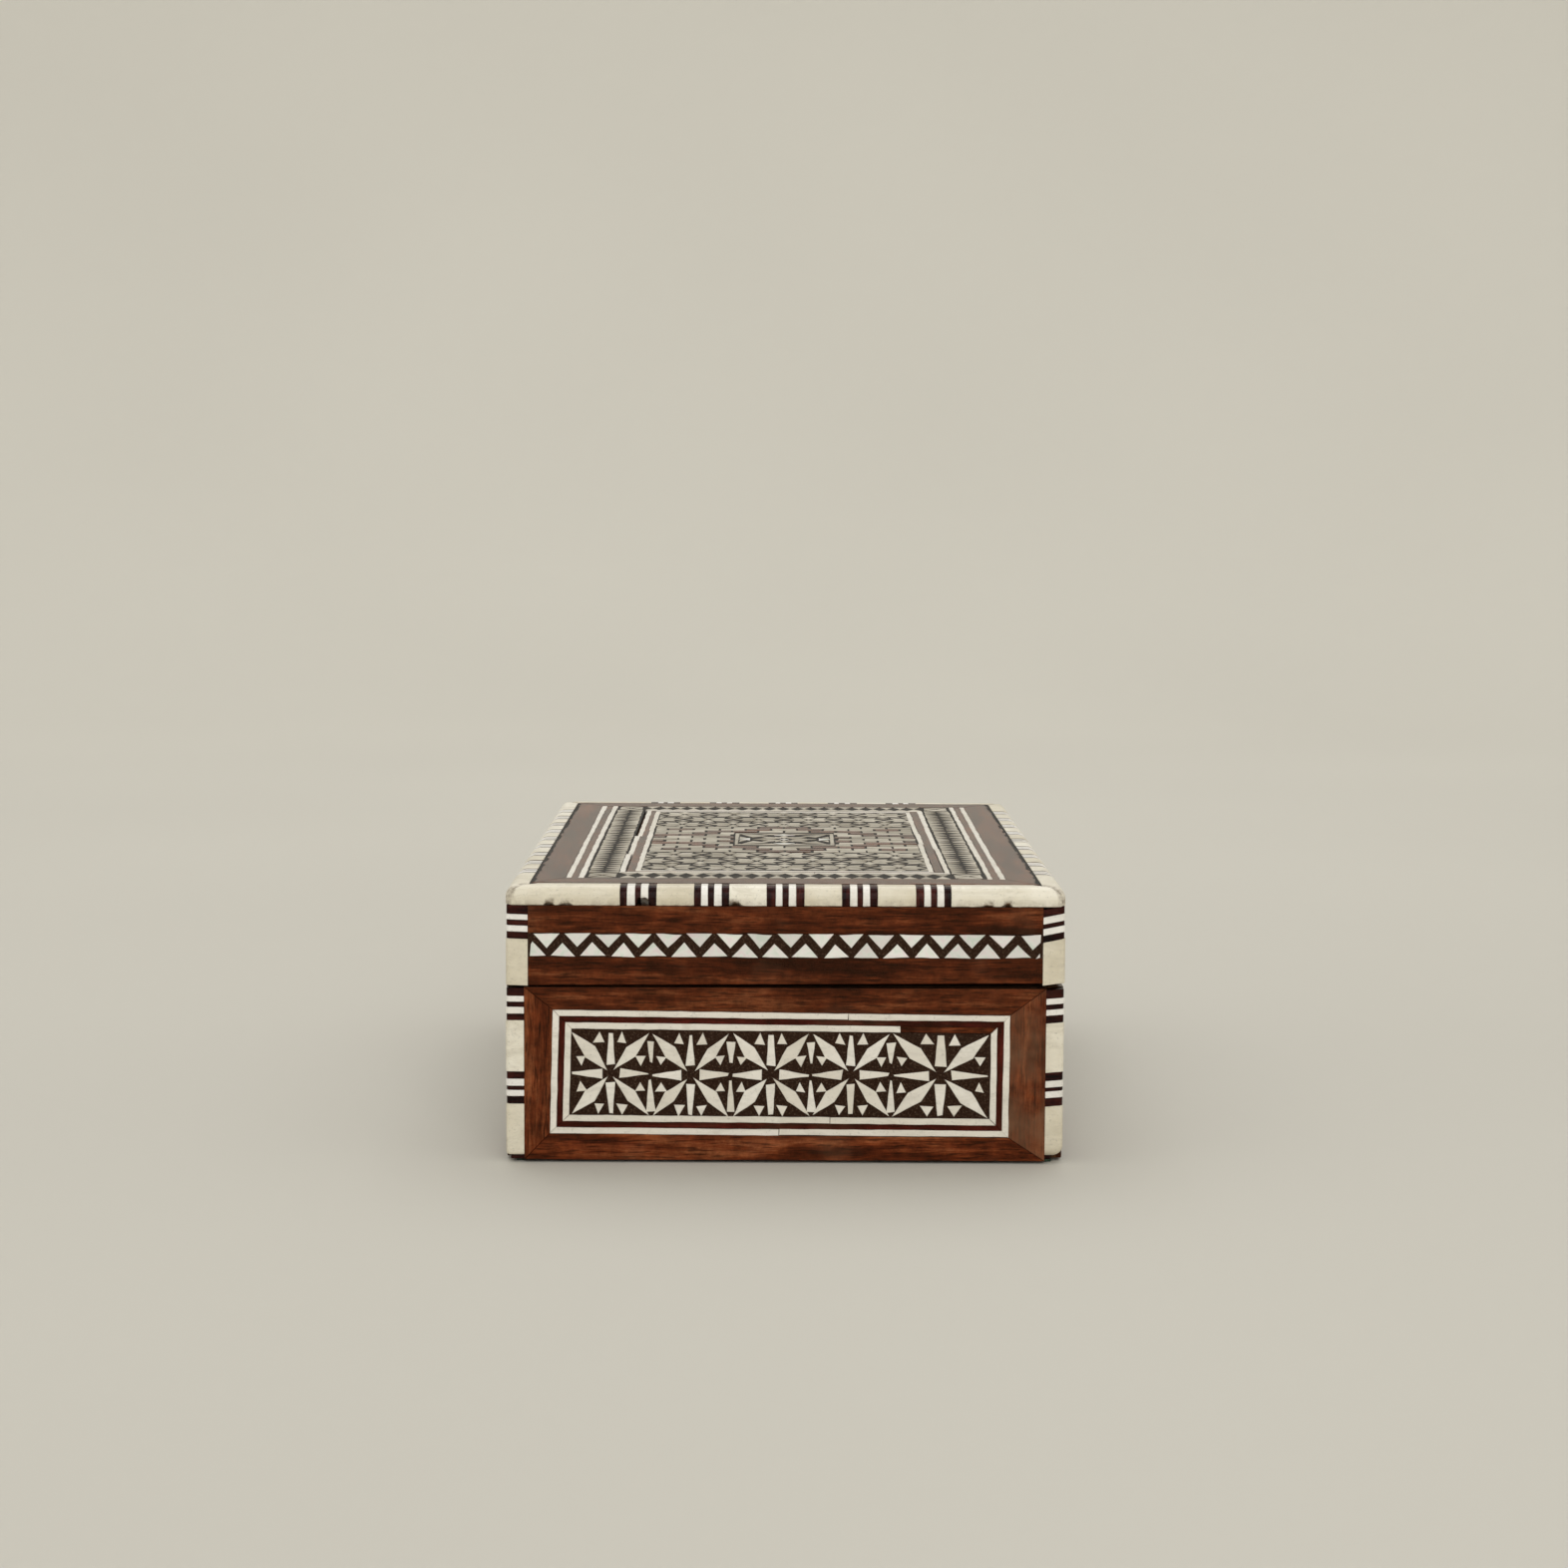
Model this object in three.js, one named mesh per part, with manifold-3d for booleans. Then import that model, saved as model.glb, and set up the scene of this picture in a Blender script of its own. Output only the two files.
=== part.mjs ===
// Inlaid wooden trinket box with a hinged lid, in millimetres, +Z up.
// The origin is the middle of the underside. The length runs along Y, the hinges are on the -X long side
// and the lid opens on the +X long side.
import * as THREE from "three";
import { mergeVertices } from "three/addons/utils/BufferGeometryUtils.js";
import Module from "manifold-3d";

// ---- Driving dimensions ----
const WIDTH = 100; // X
const LENGTH = 150; // Y
const HEIGHT = 50; // Z
const RIM_Z = 31.8; // top of the lower half
const SEAM_AT_HINGE = 0.3; // the lid sits a little open
const SEAM_AT_OPENING = 1.0;

const FELT = 0.5; // sheet under the box
const FELT_INSET = 1.5;
const VENEER = 1; // every inlaid face
const CARCASS = 5; // softwood wall behind the veneer
const BASE_BOARD = 4;
const LID_BOARD_LOW_Z = 45;
const LINING = 1.2; // velvet on card, round the inside
const FLOOR_PAD = 1.5;
const LID_PAD = 1.5;
const LINING_TOP_GAP = 0.8; // the lining stops this far under the rim

const BASE_POST = 3.3; // square corner strips of the lower half
const LID_POST = 4; // square corner strips of the lid
const EDGE_STRIP_HEIGHT = 3.5; // strip round the lid's top edge
const EDGE_STRIP_RADIUS = 2;
const ARC_STEPS = 6;

const BASE_FRAME_SIDE = 5.6; // plain wood between a corner strip and the star panel
const BASE_PANEL_LOW_Z = 5.2;
const BASE_PANEL_HIGH_Z = 27.5;
const ZIGZAG_LOW_Z = 37.3;
const ZIGZAG_HIGH_Z = 41.5;
const ZIGZAG_END = 0.5; // wood left at each end of a zigzag strip

const TOP_FRAME = 6; // plain wood round the lid's top
const TOP_STRINGING = 3.3; // line, wood, line
const TOP_BAND = 6.4; // triangle mosaic

const HINGE_Y = 45; // two hinges, at plus and minus
const HINGE_LENGTH = 20;
const CENTRE_KNUCKLE = 6.4;
const KNUCKLE_GAP = 0.3;
const BARREL_RADIUS = 1.35;
const PIN_RADIUS = 0.5;
const PIN_CLEARANCE = 0.08;
const BARREL_OUTSET = 0.25; // the pin's axis is this far behind the box
const LEAF = 0.6;
const LEAF_INNER_GAP = 0.6; // the leaf stops this far from the wall's inner face
const HINGE_CLEARANCE = 0.3;
const SCREW_Y = 6; // two screws in each leaf
const SCREW_HEAD_RADIUS = 0.95;
const SCREW_SHANK_RADIUS = 0.45;
const SCREW_LENGTH = 6;
const SCREW_POINT = 1; // length of a screw's tapered tip
const SCREW_CLEARANCE = 0.12;
const SCREW_TIP_CLEARANCE = 0.5;
const ROUND_SIDES = 24;
const SCREW_SIDES = 12;
const OVERRUN = 1; // how far a cutter runs past the face it opens
const WELD = 0.1; // how far joined solids run into each other

// ---- Worked-out places ----
const HALF_X = WIDTH / 2;
const HALF_Y = LENGTH / 2;
const WALL = VENEER + CARCASS;
const INNER_X = HALF_X - WALL;
const INNER_Y = HALF_Y - WALL;
const EDGE_STRIP_LOW_Z = HEIGHT - EDGE_STRIP_HEIGHT;
const TOP_VENEER_LOW_Z = HEIGHT - VENEER;
const HINGE_AXIS_X = -HALF_X - BARREL_OUTSET;
const HINGE_AXIS_Z = RIM_Z + SEAM_AT_HINGE / 2;
const NOTCH_RADIUS = BARREL_RADIUS + HINGE_CLEARANCE;
const LEAF_OUTER_X = HINGE_AXIS_X + NOTCH_RADIUS;
const LEAF_INNER_X = -INNER_X - LEAF_INNER_GAP;
const SCREW_X = (LEAF_OUTER_X + LEAF_INNER_X) / 2;

/** Height of the lid's lower edge, which rises from the hinge side to the opening side. */
function lidBottom(x) {
  const share = (x + HALF_X) / WIDTH;
  return RIM_Z + SEAM_AT_HINGE + (SEAM_AT_OPENING - SEAM_AT_HINGE) * share;
}

// ---- Materials ----
function finish(color, roughness, metalness = 0) {
  return () => new THREE.MeshStandardMaterial({ color, roughness, metalness });
}
const carcassWood = finish(0x5a3b26, 0.7);
const veneerWood = finish(0x60321e, 0.35);
const bone = finish(0xe2ded0, 0.3);
const starMosaic = finish(0x8a7f70, 0.4);
const pearl = finish(0xd8d8cf, 0.25);
const velvet = finish(0x5c1018, 0.95);
const felt = finish(0x1f3324, 0.95);
const brass = finish(0xb08a3e, 0.35, 1);

// ---- Solids: joining and cutting ----
const wasm = await Module();
wasm.setup();

function toSolid(geometry) {
  const bare = geometry.clone();
  bare.deleteAttribute("normal");
  bare.deleteAttribute("uv");
  const merged = mergeVertices(bare);
  const vertProperties = new Float32Array(merged.attributes.position.array);
  const triVerts = new Uint32Array(merged.index.array);
  return new wasm.Manifold(new wasm.Mesh({ numProp: 3, vertProperties, triVerts }));
}

function toGeometry(solid) {
  const mesh = solid.getMesh();
  const geometry = new THREE.BufferGeometry();
  geometry.setAttribute("position", new THREE.BufferAttribute(mesh.vertProperties, 3));
  geometry.setIndex(new THREE.BufferAttribute(mesh.triVerts, 1));
  geometry.computeVertexNormals();
  return geometry;
}

function join(...geometries) {
  return toGeometry(geometries.map(toSolid).reduce((whole, piece) => whole.add(piece)));
}

function cut(geometry, cutters) {
  return toGeometry(cutters.map(toSolid).reduce((rest, cutter) => rest.subtract(cutter), toSolid(geometry)));
}

// ---- Shapes ----
function block(low, high) {
  const size = high.map((value, i) => value - low[i]);
  const middle = high.map((value, i) => (value + low[i]) / 2);
  return new THREE.BoxGeometry(...size).translate(...middle);
}

function outline(points) {
  return new THREE.Shape(points.map(([a, b]) => new THREE.Vector2(a, b)));
}

function rectangle(halfA, halfB) {
  return [[-halfA, -halfB], [halfA, -halfB], [halfA, halfB], [-halfA, halfB]];
}

/** A plate seen from above, between two heights. */
function plate(points, lowZ, highZ, hole) {
  const shape = outline(points);
  if (hole) shape.holes.push(outline(hole));
  const depth = highZ - lowZ;
  return new THREE.ExtrudeGeometry(shape, { depth, bevelEnabled: false }).translate(0, 0, lowZ);
}

/** A rectangular ring in the lid's top veneer, given by its distances in from the lid's sides. */
function topRing(outerInset, innerInset) {
  const outer = rectangle(HALF_X - outerInset, HALF_Y - outerInset);
  const inner = rectangle(HALF_X - innerInset, HALF_Y - innerInset);
  return plate(outer, TOP_VENEER_LOW_Z, HEIGHT, inner);
}

function cylinder(radius, height) {
  return new THREE.CylinderGeometry(radius, radius, height, ROUND_SIDES);
}

// ---- The four sides ----
// A side's own axes are u along the face, z up and n outwards, with n = 0 on the outer face.
const Z_AXIS = new THREE.Vector3(0, 0, 1);
const SIDES = [
  { name: "front_end", u: [1, 0], out: [0, -1], reach: HALF_Y, half: HALF_X },
  { name: "back_end", u: [-1, 0], out: [0, 1], reach: HALF_Y, half: HALF_X },
  { name: "hinge_side", u: [0, -1], out: [-1, 0], reach: HALF_X, half: HALF_Y },
  { name: "opening_side", u: [0, 1], out: [1, 0], reach: HALF_X, half: HALF_Y },
];
const ENDS = SIDES.slice(0, 2);
const LONG_SIDES = SIDES.slice(2);

function xOnSide(side, u) {
  return side.u[0] * u + side.out[0] * side.reach;
}

/** Turns a geometry from a side's own axes (u, z, n) to the box's. */
function ontoSide(side, geometry) {
  const across = new THREE.Vector3(...side.u, 0);
  const outwards = new THREE.Vector3(...side.out, 0);
  const matrix = new THREE.Matrix4().makeBasis(across, Z_AXIS, outwards);
  matrix.setPosition(outwards.multiplyScalar(side.reach));
  return geometry.applyMatrix4(matrix);
}

/** A slab against a side: its outline is in u and z, and it lies between two depths behind the face. */
function sideSlab(side, points, shallow, deep, hole) {
  const shape = outline(points);
  if (hole) shape.holes.push(outline(hole));
  const depth = deep - shallow;
  const slab = new THREE.ExtrudeGeometry(shape, { depth, bevelEnabled: false }).translate(0, 0, -deep);
  return ontoSide(side, slab);
}

function upright(half, lowZ, highZ) {
  return [[-half, lowZ], [half, lowZ], [half, highZ], [-half, highZ]];
}

/** The same outline with the lid's sloping lower edge. */
function uprightOverSeam(side, half, highZ) {
  const leftZ = lidBottom(xOnSide(side, -half));
  const rightZ = lidBottom(xOnSide(side, half));
  return [[-half, leftZ], [half, rightZ], [half, highZ], [-half, highZ]];
}

/** A long carcass wall, stepped at both ends to let the square corner strips in. */
function longWall(side, post, lowZ, highZ) {
  const x = (inset) => side.out[0] * (HALF_X - inset);
  const halfFace = HALF_Y - post;
  const halfWall = HALF_Y - VENEER;
  return plate(
    [
      [x(VENEER), -halfFace], [x(VENEER), halfFace], [x(post), halfFace], [x(post), halfWall],
      [x(WALL), halfWall], [x(WALL), -halfWall], [x(post), -halfWall], [x(post), -halfFace],
    ],
    lowZ,
    highZ,
  );
}

function cornerPost(signX, signY, size, lowZ, highZ) {
  const inner = [signX * (HALF_X - size), signY * (HALF_Y - size)];
  const outer = [signX * HALF_X, signY * HALF_Y];
  const low = [Math.min(inner[0], outer[0]), Math.min(inner[1], outer[1]), lowZ];
  const high = [Math.max(inner[0], outer[0]), Math.max(inner[1], outer[1]), highZ];
  return block(low, high);
}

/** The strip round the lid's top edge: a rounded section with mitred ends. */
function edgeStrip(side) {
  const profile = [[0, EDGE_STRIP_LOW_Z], [0, HEIGHT - EDGE_STRIP_RADIUS]];
  for (let step = 1; step < ARC_STEPS; step++) {
    const angle = ((Math.PI / 2) * step) / ARC_STEPS;
    profile.push([
      EDGE_STRIP_RADIUS * (1 - Math.cos(angle)),
      HEIGHT - EDGE_STRIP_RADIUS * (1 - Math.sin(angle)),
    ]);
  }
  profile.push([EDGE_STRIP_RADIUS, HEIGHT], [LID_POST, HEIGHT], [LID_POST, EDGE_STRIP_LOW_Z]);
  const bar = new THREE.ExtrudeGeometry(outline(profile), { depth: 1, bevelEnabled: false });
  const place = bar.attributes.position;
  for (let i = 0; i < place.count; i++) {
    const inset = place.getX(i);
    const z = place.getY(i);
    const end = place.getZ(i) > 0.5 ? 1 : -1;
    place.setXYZ(i, end * (side.half - inset), z, -inset);
  }
  return ontoSide(side, bar);
}

// ---- Hinges ----
/** What the barrel and one leaf take out of the wood on the hinge side. */
function hingeRecess(y, lowZ, highZ) {
  const half = HINGE_LENGTH / 2 + HINGE_CLEARANCE;
  return block([-HALF_X - OVERRUN, y - half, lowZ], [LEAF_OUTER_X, y + half, highZ]);
}

function leafRecess(y, lowZ, highZ) {
  const half = HINGE_LENGTH / 2 + HINGE_CLEARANCE;
  return block([LEAF_OUTER_X - WELD, y - half, lowZ], [-INNER_X + OVERRUN, y + half, highZ]);
}

function screwHole(y, z, radius, height) {
  return cylinder(radius, height).rotateX(Math.PI / 2).translate(SCREW_X, y, z);
}

function knuckle(centre, length, radius) {
  return cylinder(radius, length).translate(HINGE_AXIS_X, centre, HINGE_AXIS_Z);
}

/** One leaf with its own knuckles. up is 1 for the lid's leaf and -1 for the lower one. */
function hingeLeaf(y, up) {
  const faceZ = HINGE_AXIS_Z + (up * SEAM_AT_HINGE) / 2;
  const backZ = faceZ + up * LEAF;
  const lowZ = Math.min(faceZ, backZ);
  const highZ = Math.max(faceZ, backZ);
  const half = HINGE_LENGTH / 2;
  const innerEnd = CENTRE_KNUCKLE / 2;
  const spans = up > 0
    ? [[-innerEnd, innerEnd]]
    : [[-half, -innerEnd - KNUCKLE_GAP], [innerEnd + KNUCKLE_GAP, half]];
  const pieces = [block([LEAF_OUTER_X, y - half, lowZ], [LEAF_INNER_X, y + half, highZ])];
  const webX = HINGE_AXIS_X + (BARREL_RADIUS + PIN_RADIUS) / 2;
  for (const [from, to] of spans) {
    pieces.push(block([webX, y + from, lowZ], [LEAF_OUTER_X + WELD, y + to, highZ]));
    pieces.push(knuckle(y + (from + to) / 2, to - from, BARREL_RADIUS));
  }
  const bore = knuckle(y, HINGE_LENGTH + 2 * OVERRUN, PIN_RADIUS + PIN_CLEARANCE);
  const holes = [-SCREW_Y, SCREW_Y].map((offset) =>
    screwHole(y + offset, faceZ, SCREW_HEAD_RADIUS + SCREW_CLEARANCE, 2 * (LEAF + OVERRUN)),
  );
  return cut(join(...pieces), [bore, ...holes]);
}

/** A small flat-headed screw. up is 1 where it points up into the lid. */
function hingeScrew(y, up) {
  const faceZ = HINGE_AXIS_Z + (up * SEAM_AT_HINGE) / 2;
  const profile = [
    [0, 0], [SCREW_HEAD_RADIUS, 0], [SCREW_HEAD_RADIUS, LEAF / 2], [SCREW_SHANK_RADIUS, LEAF],
    [SCREW_SHANK_RADIUS, SCREW_LENGTH - SCREW_POINT], [0, SCREW_LENGTH],
  ];
  const points = profile.map(([radius, along]) => new THREE.Vector2(radius, along));
  const screw = new THREE.LatheGeometry(points, SCREW_SIDES).rotateX((up * Math.PI) / 2);
  return screw.translate(SCREW_X, y, faceZ);
}

// ---- The assembly ----
const box = new THREE.Group();

function add(parent, name, geometry, material) {
  const mesh = new THREE.Mesh(geometry, material());
  mesh.name = name;
  parent.add(mesh);
}

const hingeYs = [-HINGE_Y, HINGE_Y];
const screwYs = hingeYs.flatMap((y) => [y - SCREW_Y, y + SCREW_Y]);
const screwBore = SCREW_SHANK_RADIUS + SCREW_CLEARANCE;
const screwBoreLength = 2 * (SCREW_LENGTH + SCREW_TIP_CLEARANCE);
const corners = [
  ["front_hinge", -1, -1], ["front_opening", 1, -1], ["back_opening", 1, 1], ["back_hinge", -1, 1],
];

function lowerHalf() {
  const base = new THREE.Group();
  const floorZ = FELT + BASE_BOARD;
  const halfFeltX = HALF_X - FELT_INSET;
  const halfFeltY = HALF_Y - FELT_INSET;
  add(base, "base_felt", block([-halfFeltX, -halfFeltY, 0], [halfFeltX, halfFeltY, FELT]), felt);
  add(base, "base_board", block([-INNER_X, -INNER_Y, FELT], [INNER_X, INNER_Y, floorZ]), carcassWood);

  for (const side of ENDS) {
    const wall = sideSlab(side, upright(INNER_X, FELT, RIM_Z), VENEER, WALL);
    add(base, `base_wall_${side.name}`, wall, carcassWood);
  }
  for (const side of LONG_SIDES) {
    let wall = longWall(side, BASE_POST, FELT, RIM_Z);
    if (side.name === "hinge_side") {
      const barrels = hingeYs.map((y) => hingeRecess(y, HINGE_AXIS_Z - NOTCH_RADIUS, RIM_Z + OVERRUN));
      const leaves = hingeYs.map((y) => leafRecess(y, RIM_Z - LEAF, RIM_Z + OVERRUN));
      const bores = screwYs.map((y) => screwHole(y, RIM_Z, screwBore, screwBoreLength));
      wall = cut(wall, [...barrels, ...leaves, ...bores]);
    }
    add(base, `base_wall_${side.name}`, wall, carcassWood);
  }
  for (const [corner, signX, signY] of corners) {
    add(base, `base_corner_strip_${corner}`, cornerPost(signX, signY, BASE_POST, FELT, RIM_Z), bone);
  }
  for (const side of SIDES) {
    const half = side.half - BASE_POST;
    const hole = upright(half - BASE_FRAME_SIDE, BASE_PANEL_LOW_Z, BASE_PANEL_HIGH_Z);
    let frame = sideSlab(side, upright(half, FELT, RIM_Z), 0, VENEER, hole);
    if (side.name === "hinge_side") {
      frame = cut(frame, hingeYs.map((y) => hingeRecess(y, HINGE_AXIS_Z - NOTCH_RADIUS, RIM_Z + OVERRUN)));
    }
    add(base, `base_frame_${side.name}`, frame, veneerWood);
    add(base, `base_star_panel_${side.name}`, sideSlab(side, hole, 0, VENEER), starMosaic);
  }

  const padX = INNER_X - LINING;
  const padY = INNER_Y - LINING;
  const liningTop = RIM_Z - LINING_TOP_GAP;
  const pad = block([-padX, -padY, floorZ], [padX, padY, floorZ + FLOOR_PAD]);
  const liner = plate(rectangle(INNER_X, INNER_Y), floorZ, liningTop, rectangle(padX, padY));
  add(base, "base_lining_floor", pad, velvet);
  add(base, "base_lining_walls", liner, velvet);
  return base;
}

function lid() {
  const group = new THREE.Group();
  const halfX = HALF_X - LID_POST;
  const halfY = HALF_Y - LID_POST;
  const flangeX = HALF_X - VENEER;
  const flangeY = HALF_Y - VENEER;
  const flange = plate(
    [
      [-flangeX, -halfY], [-halfX, -halfY], [-halfX, -flangeY], [halfX, -flangeY],
      [halfX, -halfY], [flangeX, -halfY], [flangeX, halfY], [halfX, halfY],
      [halfX, flangeY], [-halfX, flangeY], [-halfX, halfY], [-flangeX, halfY],
    ],
    LID_BOARD_LOW_Z,
    EDGE_STRIP_LOW_Z,
  );
  const raised = block([-halfX, -halfY, LID_BOARD_LOW_Z], [halfX, halfY, TOP_VENEER_LOW_Z]);
  add(group, "lid_board", join(flange, raised), carcassWood);

  for (const side of ENDS) {
    const wall = sideSlab(side, uprightOverSeam(side, INNER_X, LID_BOARD_LOW_Z), VENEER, WALL);
    add(group, `lid_wall_${side.name}`, wall, carcassWood);
  }
  for (const side of LONG_SIDES) {
    const lowZ = lidBottom(side.out[0] * HALF_X);
    let wall = longWall(side, LID_POST, lowZ, LID_BOARD_LOW_Z);
    if (side.name === "hinge_side") {
      const barrels = hingeYs.map((y) => hingeRecess(y, lowZ - OVERRUN, HINGE_AXIS_Z + NOTCH_RADIUS));
      const leaves = hingeYs.map((y) => leafRecess(y, lowZ - OVERRUN, lowZ + LEAF));
      const bores = screwYs.map((y) => screwHole(y, lowZ, screwBore, screwBoreLength));
      wall = cut(wall, [...barrels, ...leaves, ...bores]);
    }
    add(group, `lid_wall_${side.name}`, wall, carcassWood);
  }
  for (const [corner, signX, signY] of corners) {
    const post = cornerPost(signX, signY, LID_POST, lidBottom(signX * HALF_X), EDGE_STRIP_LOW_Z);
    add(group, `lid_corner_strip_${corner}`, post, bone);
  }
  for (const side of SIDES) {
    const half = side.half - LID_POST;
    const slot = upright(half - ZIGZAG_END, ZIGZAG_LOW_Z, ZIGZAG_HIGH_Z);
    let face = sideSlab(side, uprightOverSeam(side, half, EDGE_STRIP_LOW_Z), 0, VENEER, slot);
    if (side.name === "hinge_side") {
      face = cut(face, hingeYs.map((y) => hingeRecess(y, RIM_Z, HINGE_AXIS_Z + NOTCH_RADIUS)));
    }
    add(group, `lid_face_${side.name}`, face, veneerWood);
    add(group, `lid_zigzag_${side.name}`, sideSlab(side, slot, 0, VENEER), pearl);
    add(group, `lid_edge_strip_${side.name}`, edgeStrip(side), bone);
  }

  const frameEnd = LID_POST + TOP_FRAME;
  const stringingEnd = frameEnd + TOP_STRINGING;
  const bandEnd = stringingEnd + TOP_BAND;
  const field = rectangle(HALF_X - bandEnd, HALF_Y - bandEnd);
  add(group, "lid_top_frame", topRing(LID_POST, frameEnd), veneerWood);
  add(group, "lid_top_stringing", topRing(frameEnd, stringingEnd), bone);
  add(group, "lid_top_mosaic_band", topRing(stringingEnd, bandEnd), starMosaic);
  add(group, "lid_top_field", plate(field, TOP_VENEER_LOW_Z, HEIGHT), starMosaic);
  const padLowZ = LID_BOARD_LOW_Z - LID_PAD;
  add(group, "lid_lining", block([-INNER_X, -INNER_Y, padLowZ], [INNER_X, INNER_Y, LID_BOARD_LOW_Z]), velvet);
  return group;
}

function hinges() {
  const group = new THREE.Group();
  for (const [place, y] of [["front", -HINGE_Y], ["back", HINGE_Y]]) {
    add(group, `hinge_${place}_base_leaf`, hingeLeaf(y, -1), brass);
    add(group, `hinge_${place}_lid_leaf`, hingeLeaf(y, 1), brass);
    add(group, `hinge_${place}_pin`, knuckle(y, HINGE_LENGTH, PIN_RADIUS), brass);
    for (const [half, up] of [["base", -1], ["lid", 1]]) {
      add(group, `hinge_${place}_${half}_screw_1`, hingeScrew(y - SCREW_Y, up), brass);
      add(group, `hinge_${place}_${half}_screw_2`, hingeScrew(y + SCREW_Y, up), brass);
    }
  }
  return group;
}

box.add(lowerHalf(), lid(), hinges());

export default box;
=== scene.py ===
"""The looks of a small inlaid box: bone, mother of pearl and walnut on a hinged wooden carcass.

Sizes are in millimetres. Face.point and cloth_piece turn them into metres. The studio is in metres.
A face of the box has its own axes: u along it, v up it and n outwards, with n = 0 on the face itself.
"""
import math
import random

import bpy
from mathutils import Matrix, Vector, noise


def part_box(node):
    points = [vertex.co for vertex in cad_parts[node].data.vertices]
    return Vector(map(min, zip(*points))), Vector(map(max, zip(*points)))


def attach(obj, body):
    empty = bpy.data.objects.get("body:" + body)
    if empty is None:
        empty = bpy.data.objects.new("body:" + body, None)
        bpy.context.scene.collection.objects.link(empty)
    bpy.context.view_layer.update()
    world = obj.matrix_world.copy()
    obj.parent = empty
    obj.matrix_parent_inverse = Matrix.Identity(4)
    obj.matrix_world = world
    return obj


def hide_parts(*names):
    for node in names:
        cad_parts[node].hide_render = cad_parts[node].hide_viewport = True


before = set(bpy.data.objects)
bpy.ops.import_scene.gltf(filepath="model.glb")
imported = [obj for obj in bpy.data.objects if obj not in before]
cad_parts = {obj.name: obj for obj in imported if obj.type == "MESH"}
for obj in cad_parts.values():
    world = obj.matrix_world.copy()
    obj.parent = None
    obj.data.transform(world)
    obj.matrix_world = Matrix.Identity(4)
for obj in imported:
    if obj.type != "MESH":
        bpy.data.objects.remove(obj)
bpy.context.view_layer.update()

MM = 0.001

# ---- Inlay sizes ----
VENEER = 1.0  # thickness of every inlaid skin
SOFT_EDGE = 0.08  # worn edge of a bone tile
WOOD_EDGE = 0.10
FILLER_SINK = 0.06  # the filler lies a little under the tiles
TILE_PROUD = 0.03  # tiles stand up to this much proud
LINE = 1.15  # white line round a star panel
RED_LINE = 1.1
TOP_LINE = 1.0
STAR_PITCH = 14.7
STAR_HEIGHT = 14.8
ZIGZAG_PITCH = 5.42
ZIGZAG_REACH = 0.62  # height of a pearl triangle, as a share of its strip's
ZIGZAG_BASE = 0.87  # and its foot, as a share of the pitch
ZIGZAG_START = 0.8
BLOCK_PITCH = 13.2  # from one group of edge slips to the next
CORNER_ROUND = 0.7
HAIRLINE = 0.05  # half the gap between two pieces of a white line
TILE_LOW = -0.02  # the lowest that a tile's top lies
FILLER_EDGE = 0.02
LINE_SINK = 0.03  # the wooden lines lie a little under the veneer
LINE_EDGE = 0.05
RAGGED_STEP = 2.0
# Hand-cut pieces: how far their corners and edges are off, and the length between changes of an edge.
LINE_CUT = (0.05, 0.05, 2.2)
TILE_CUT = (0.17, 0.05, 1.3)
TOP_LINE_CUT = (0.06, 0.08, 2.5)
TOP_TILE_CUT = (0.12, 0.04, 1.6)
FELT_CUT = (0.2, 0.15, 4.0)

# ---- Velvet ----
PAD_CROWN = 0.25  # how much a pad's middle stands over its sides
PAD_TURN = 2.5  # width of a pad's turned-over edge
PAD_EDGE = 0.9  # and its depth


# ---- Plane outlines ----
def inset(outline, distance):
    """The outline moved inwards by a distance, with its sharp corners held back."""
    count = len(outline)
    moved = []
    for i, (x, y) in enumerate(outline):
        before = Vector((x - outline[i - 1][0], y - outline[i - 1][1])).normalized()
        after = Vector((outline[(i + 1) % count][0] - x, outline[(i + 1) % count][1] - y)).normalized()
        normal = Vector((-before.y - after.y, before.x + after.x))
        square = max(normal.length_squared / 2, 0.12)
        moved.append((x + normal.x * distance / square, y + normal.y * distance / square))
    return moved


def turned_round(outline):
    """The outline anticlockwise."""
    area = sum(a[0] * b[1] - b[0] * a[1] for a, b in zip(outline, outline[1:] + outline[:1]))
    return outline if area > 0 else outline[::-1]


def clipped(outline, low, high, axis=0):
    """The part of an outline between two values of u, or of v where the axis is 1."""
    for limit, sign in ((low, 1), (high, -1)):
        kept = []
        for a, b in zip(outline, outline[1:] + outline[:1]):
            side_a = sign * (a[axis] - limit)
            side_b = sign * (b[axis] - limit)
            if side_a >= 0:
                kept.append(a)
            if side_a * side_b < 0:
                kept.append(between(a, b, side_a / (side_a - side_b)))
        outline = kept
        if len(outline) < 3:
            return []
    return outline


def extent(outline):
    """How far an outline reaches along u and along v."""
    return [max(p[i] for p in outline) - min(p[i] for p in outline) for i in (0, 1)]


def between(a, b, share):
    return tuple(p + (q - p) * share for p, q in zip(a, b))


def hand_cut(outline, rng, corner, edge, step):
    """An outline with slightly misplaced corners and wavering edges."""
    corners = [(x + rng.uniform(-corner, corner), y + rng.uniform(-corner, corner)) for x, y in outline]
    made = []
    for a, b in zip(corners, corners[1:] + corners[:1]):
        made.append(a)
        length = math.dist(a, b)
        pieces = int(length / step)
        for k in range(1, pieces):
            share = k / pieces
            off = rng.uniform(-edge, edge)
            across = ((a[1] - b[1]) / length * off, (b[0] - a[0]) / length * off)
            made.append((a[0] + (b[0] - a[0]) * share + across[0], a[1] + (b[1] - a[1]) * share + across[1]))
    return made


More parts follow.
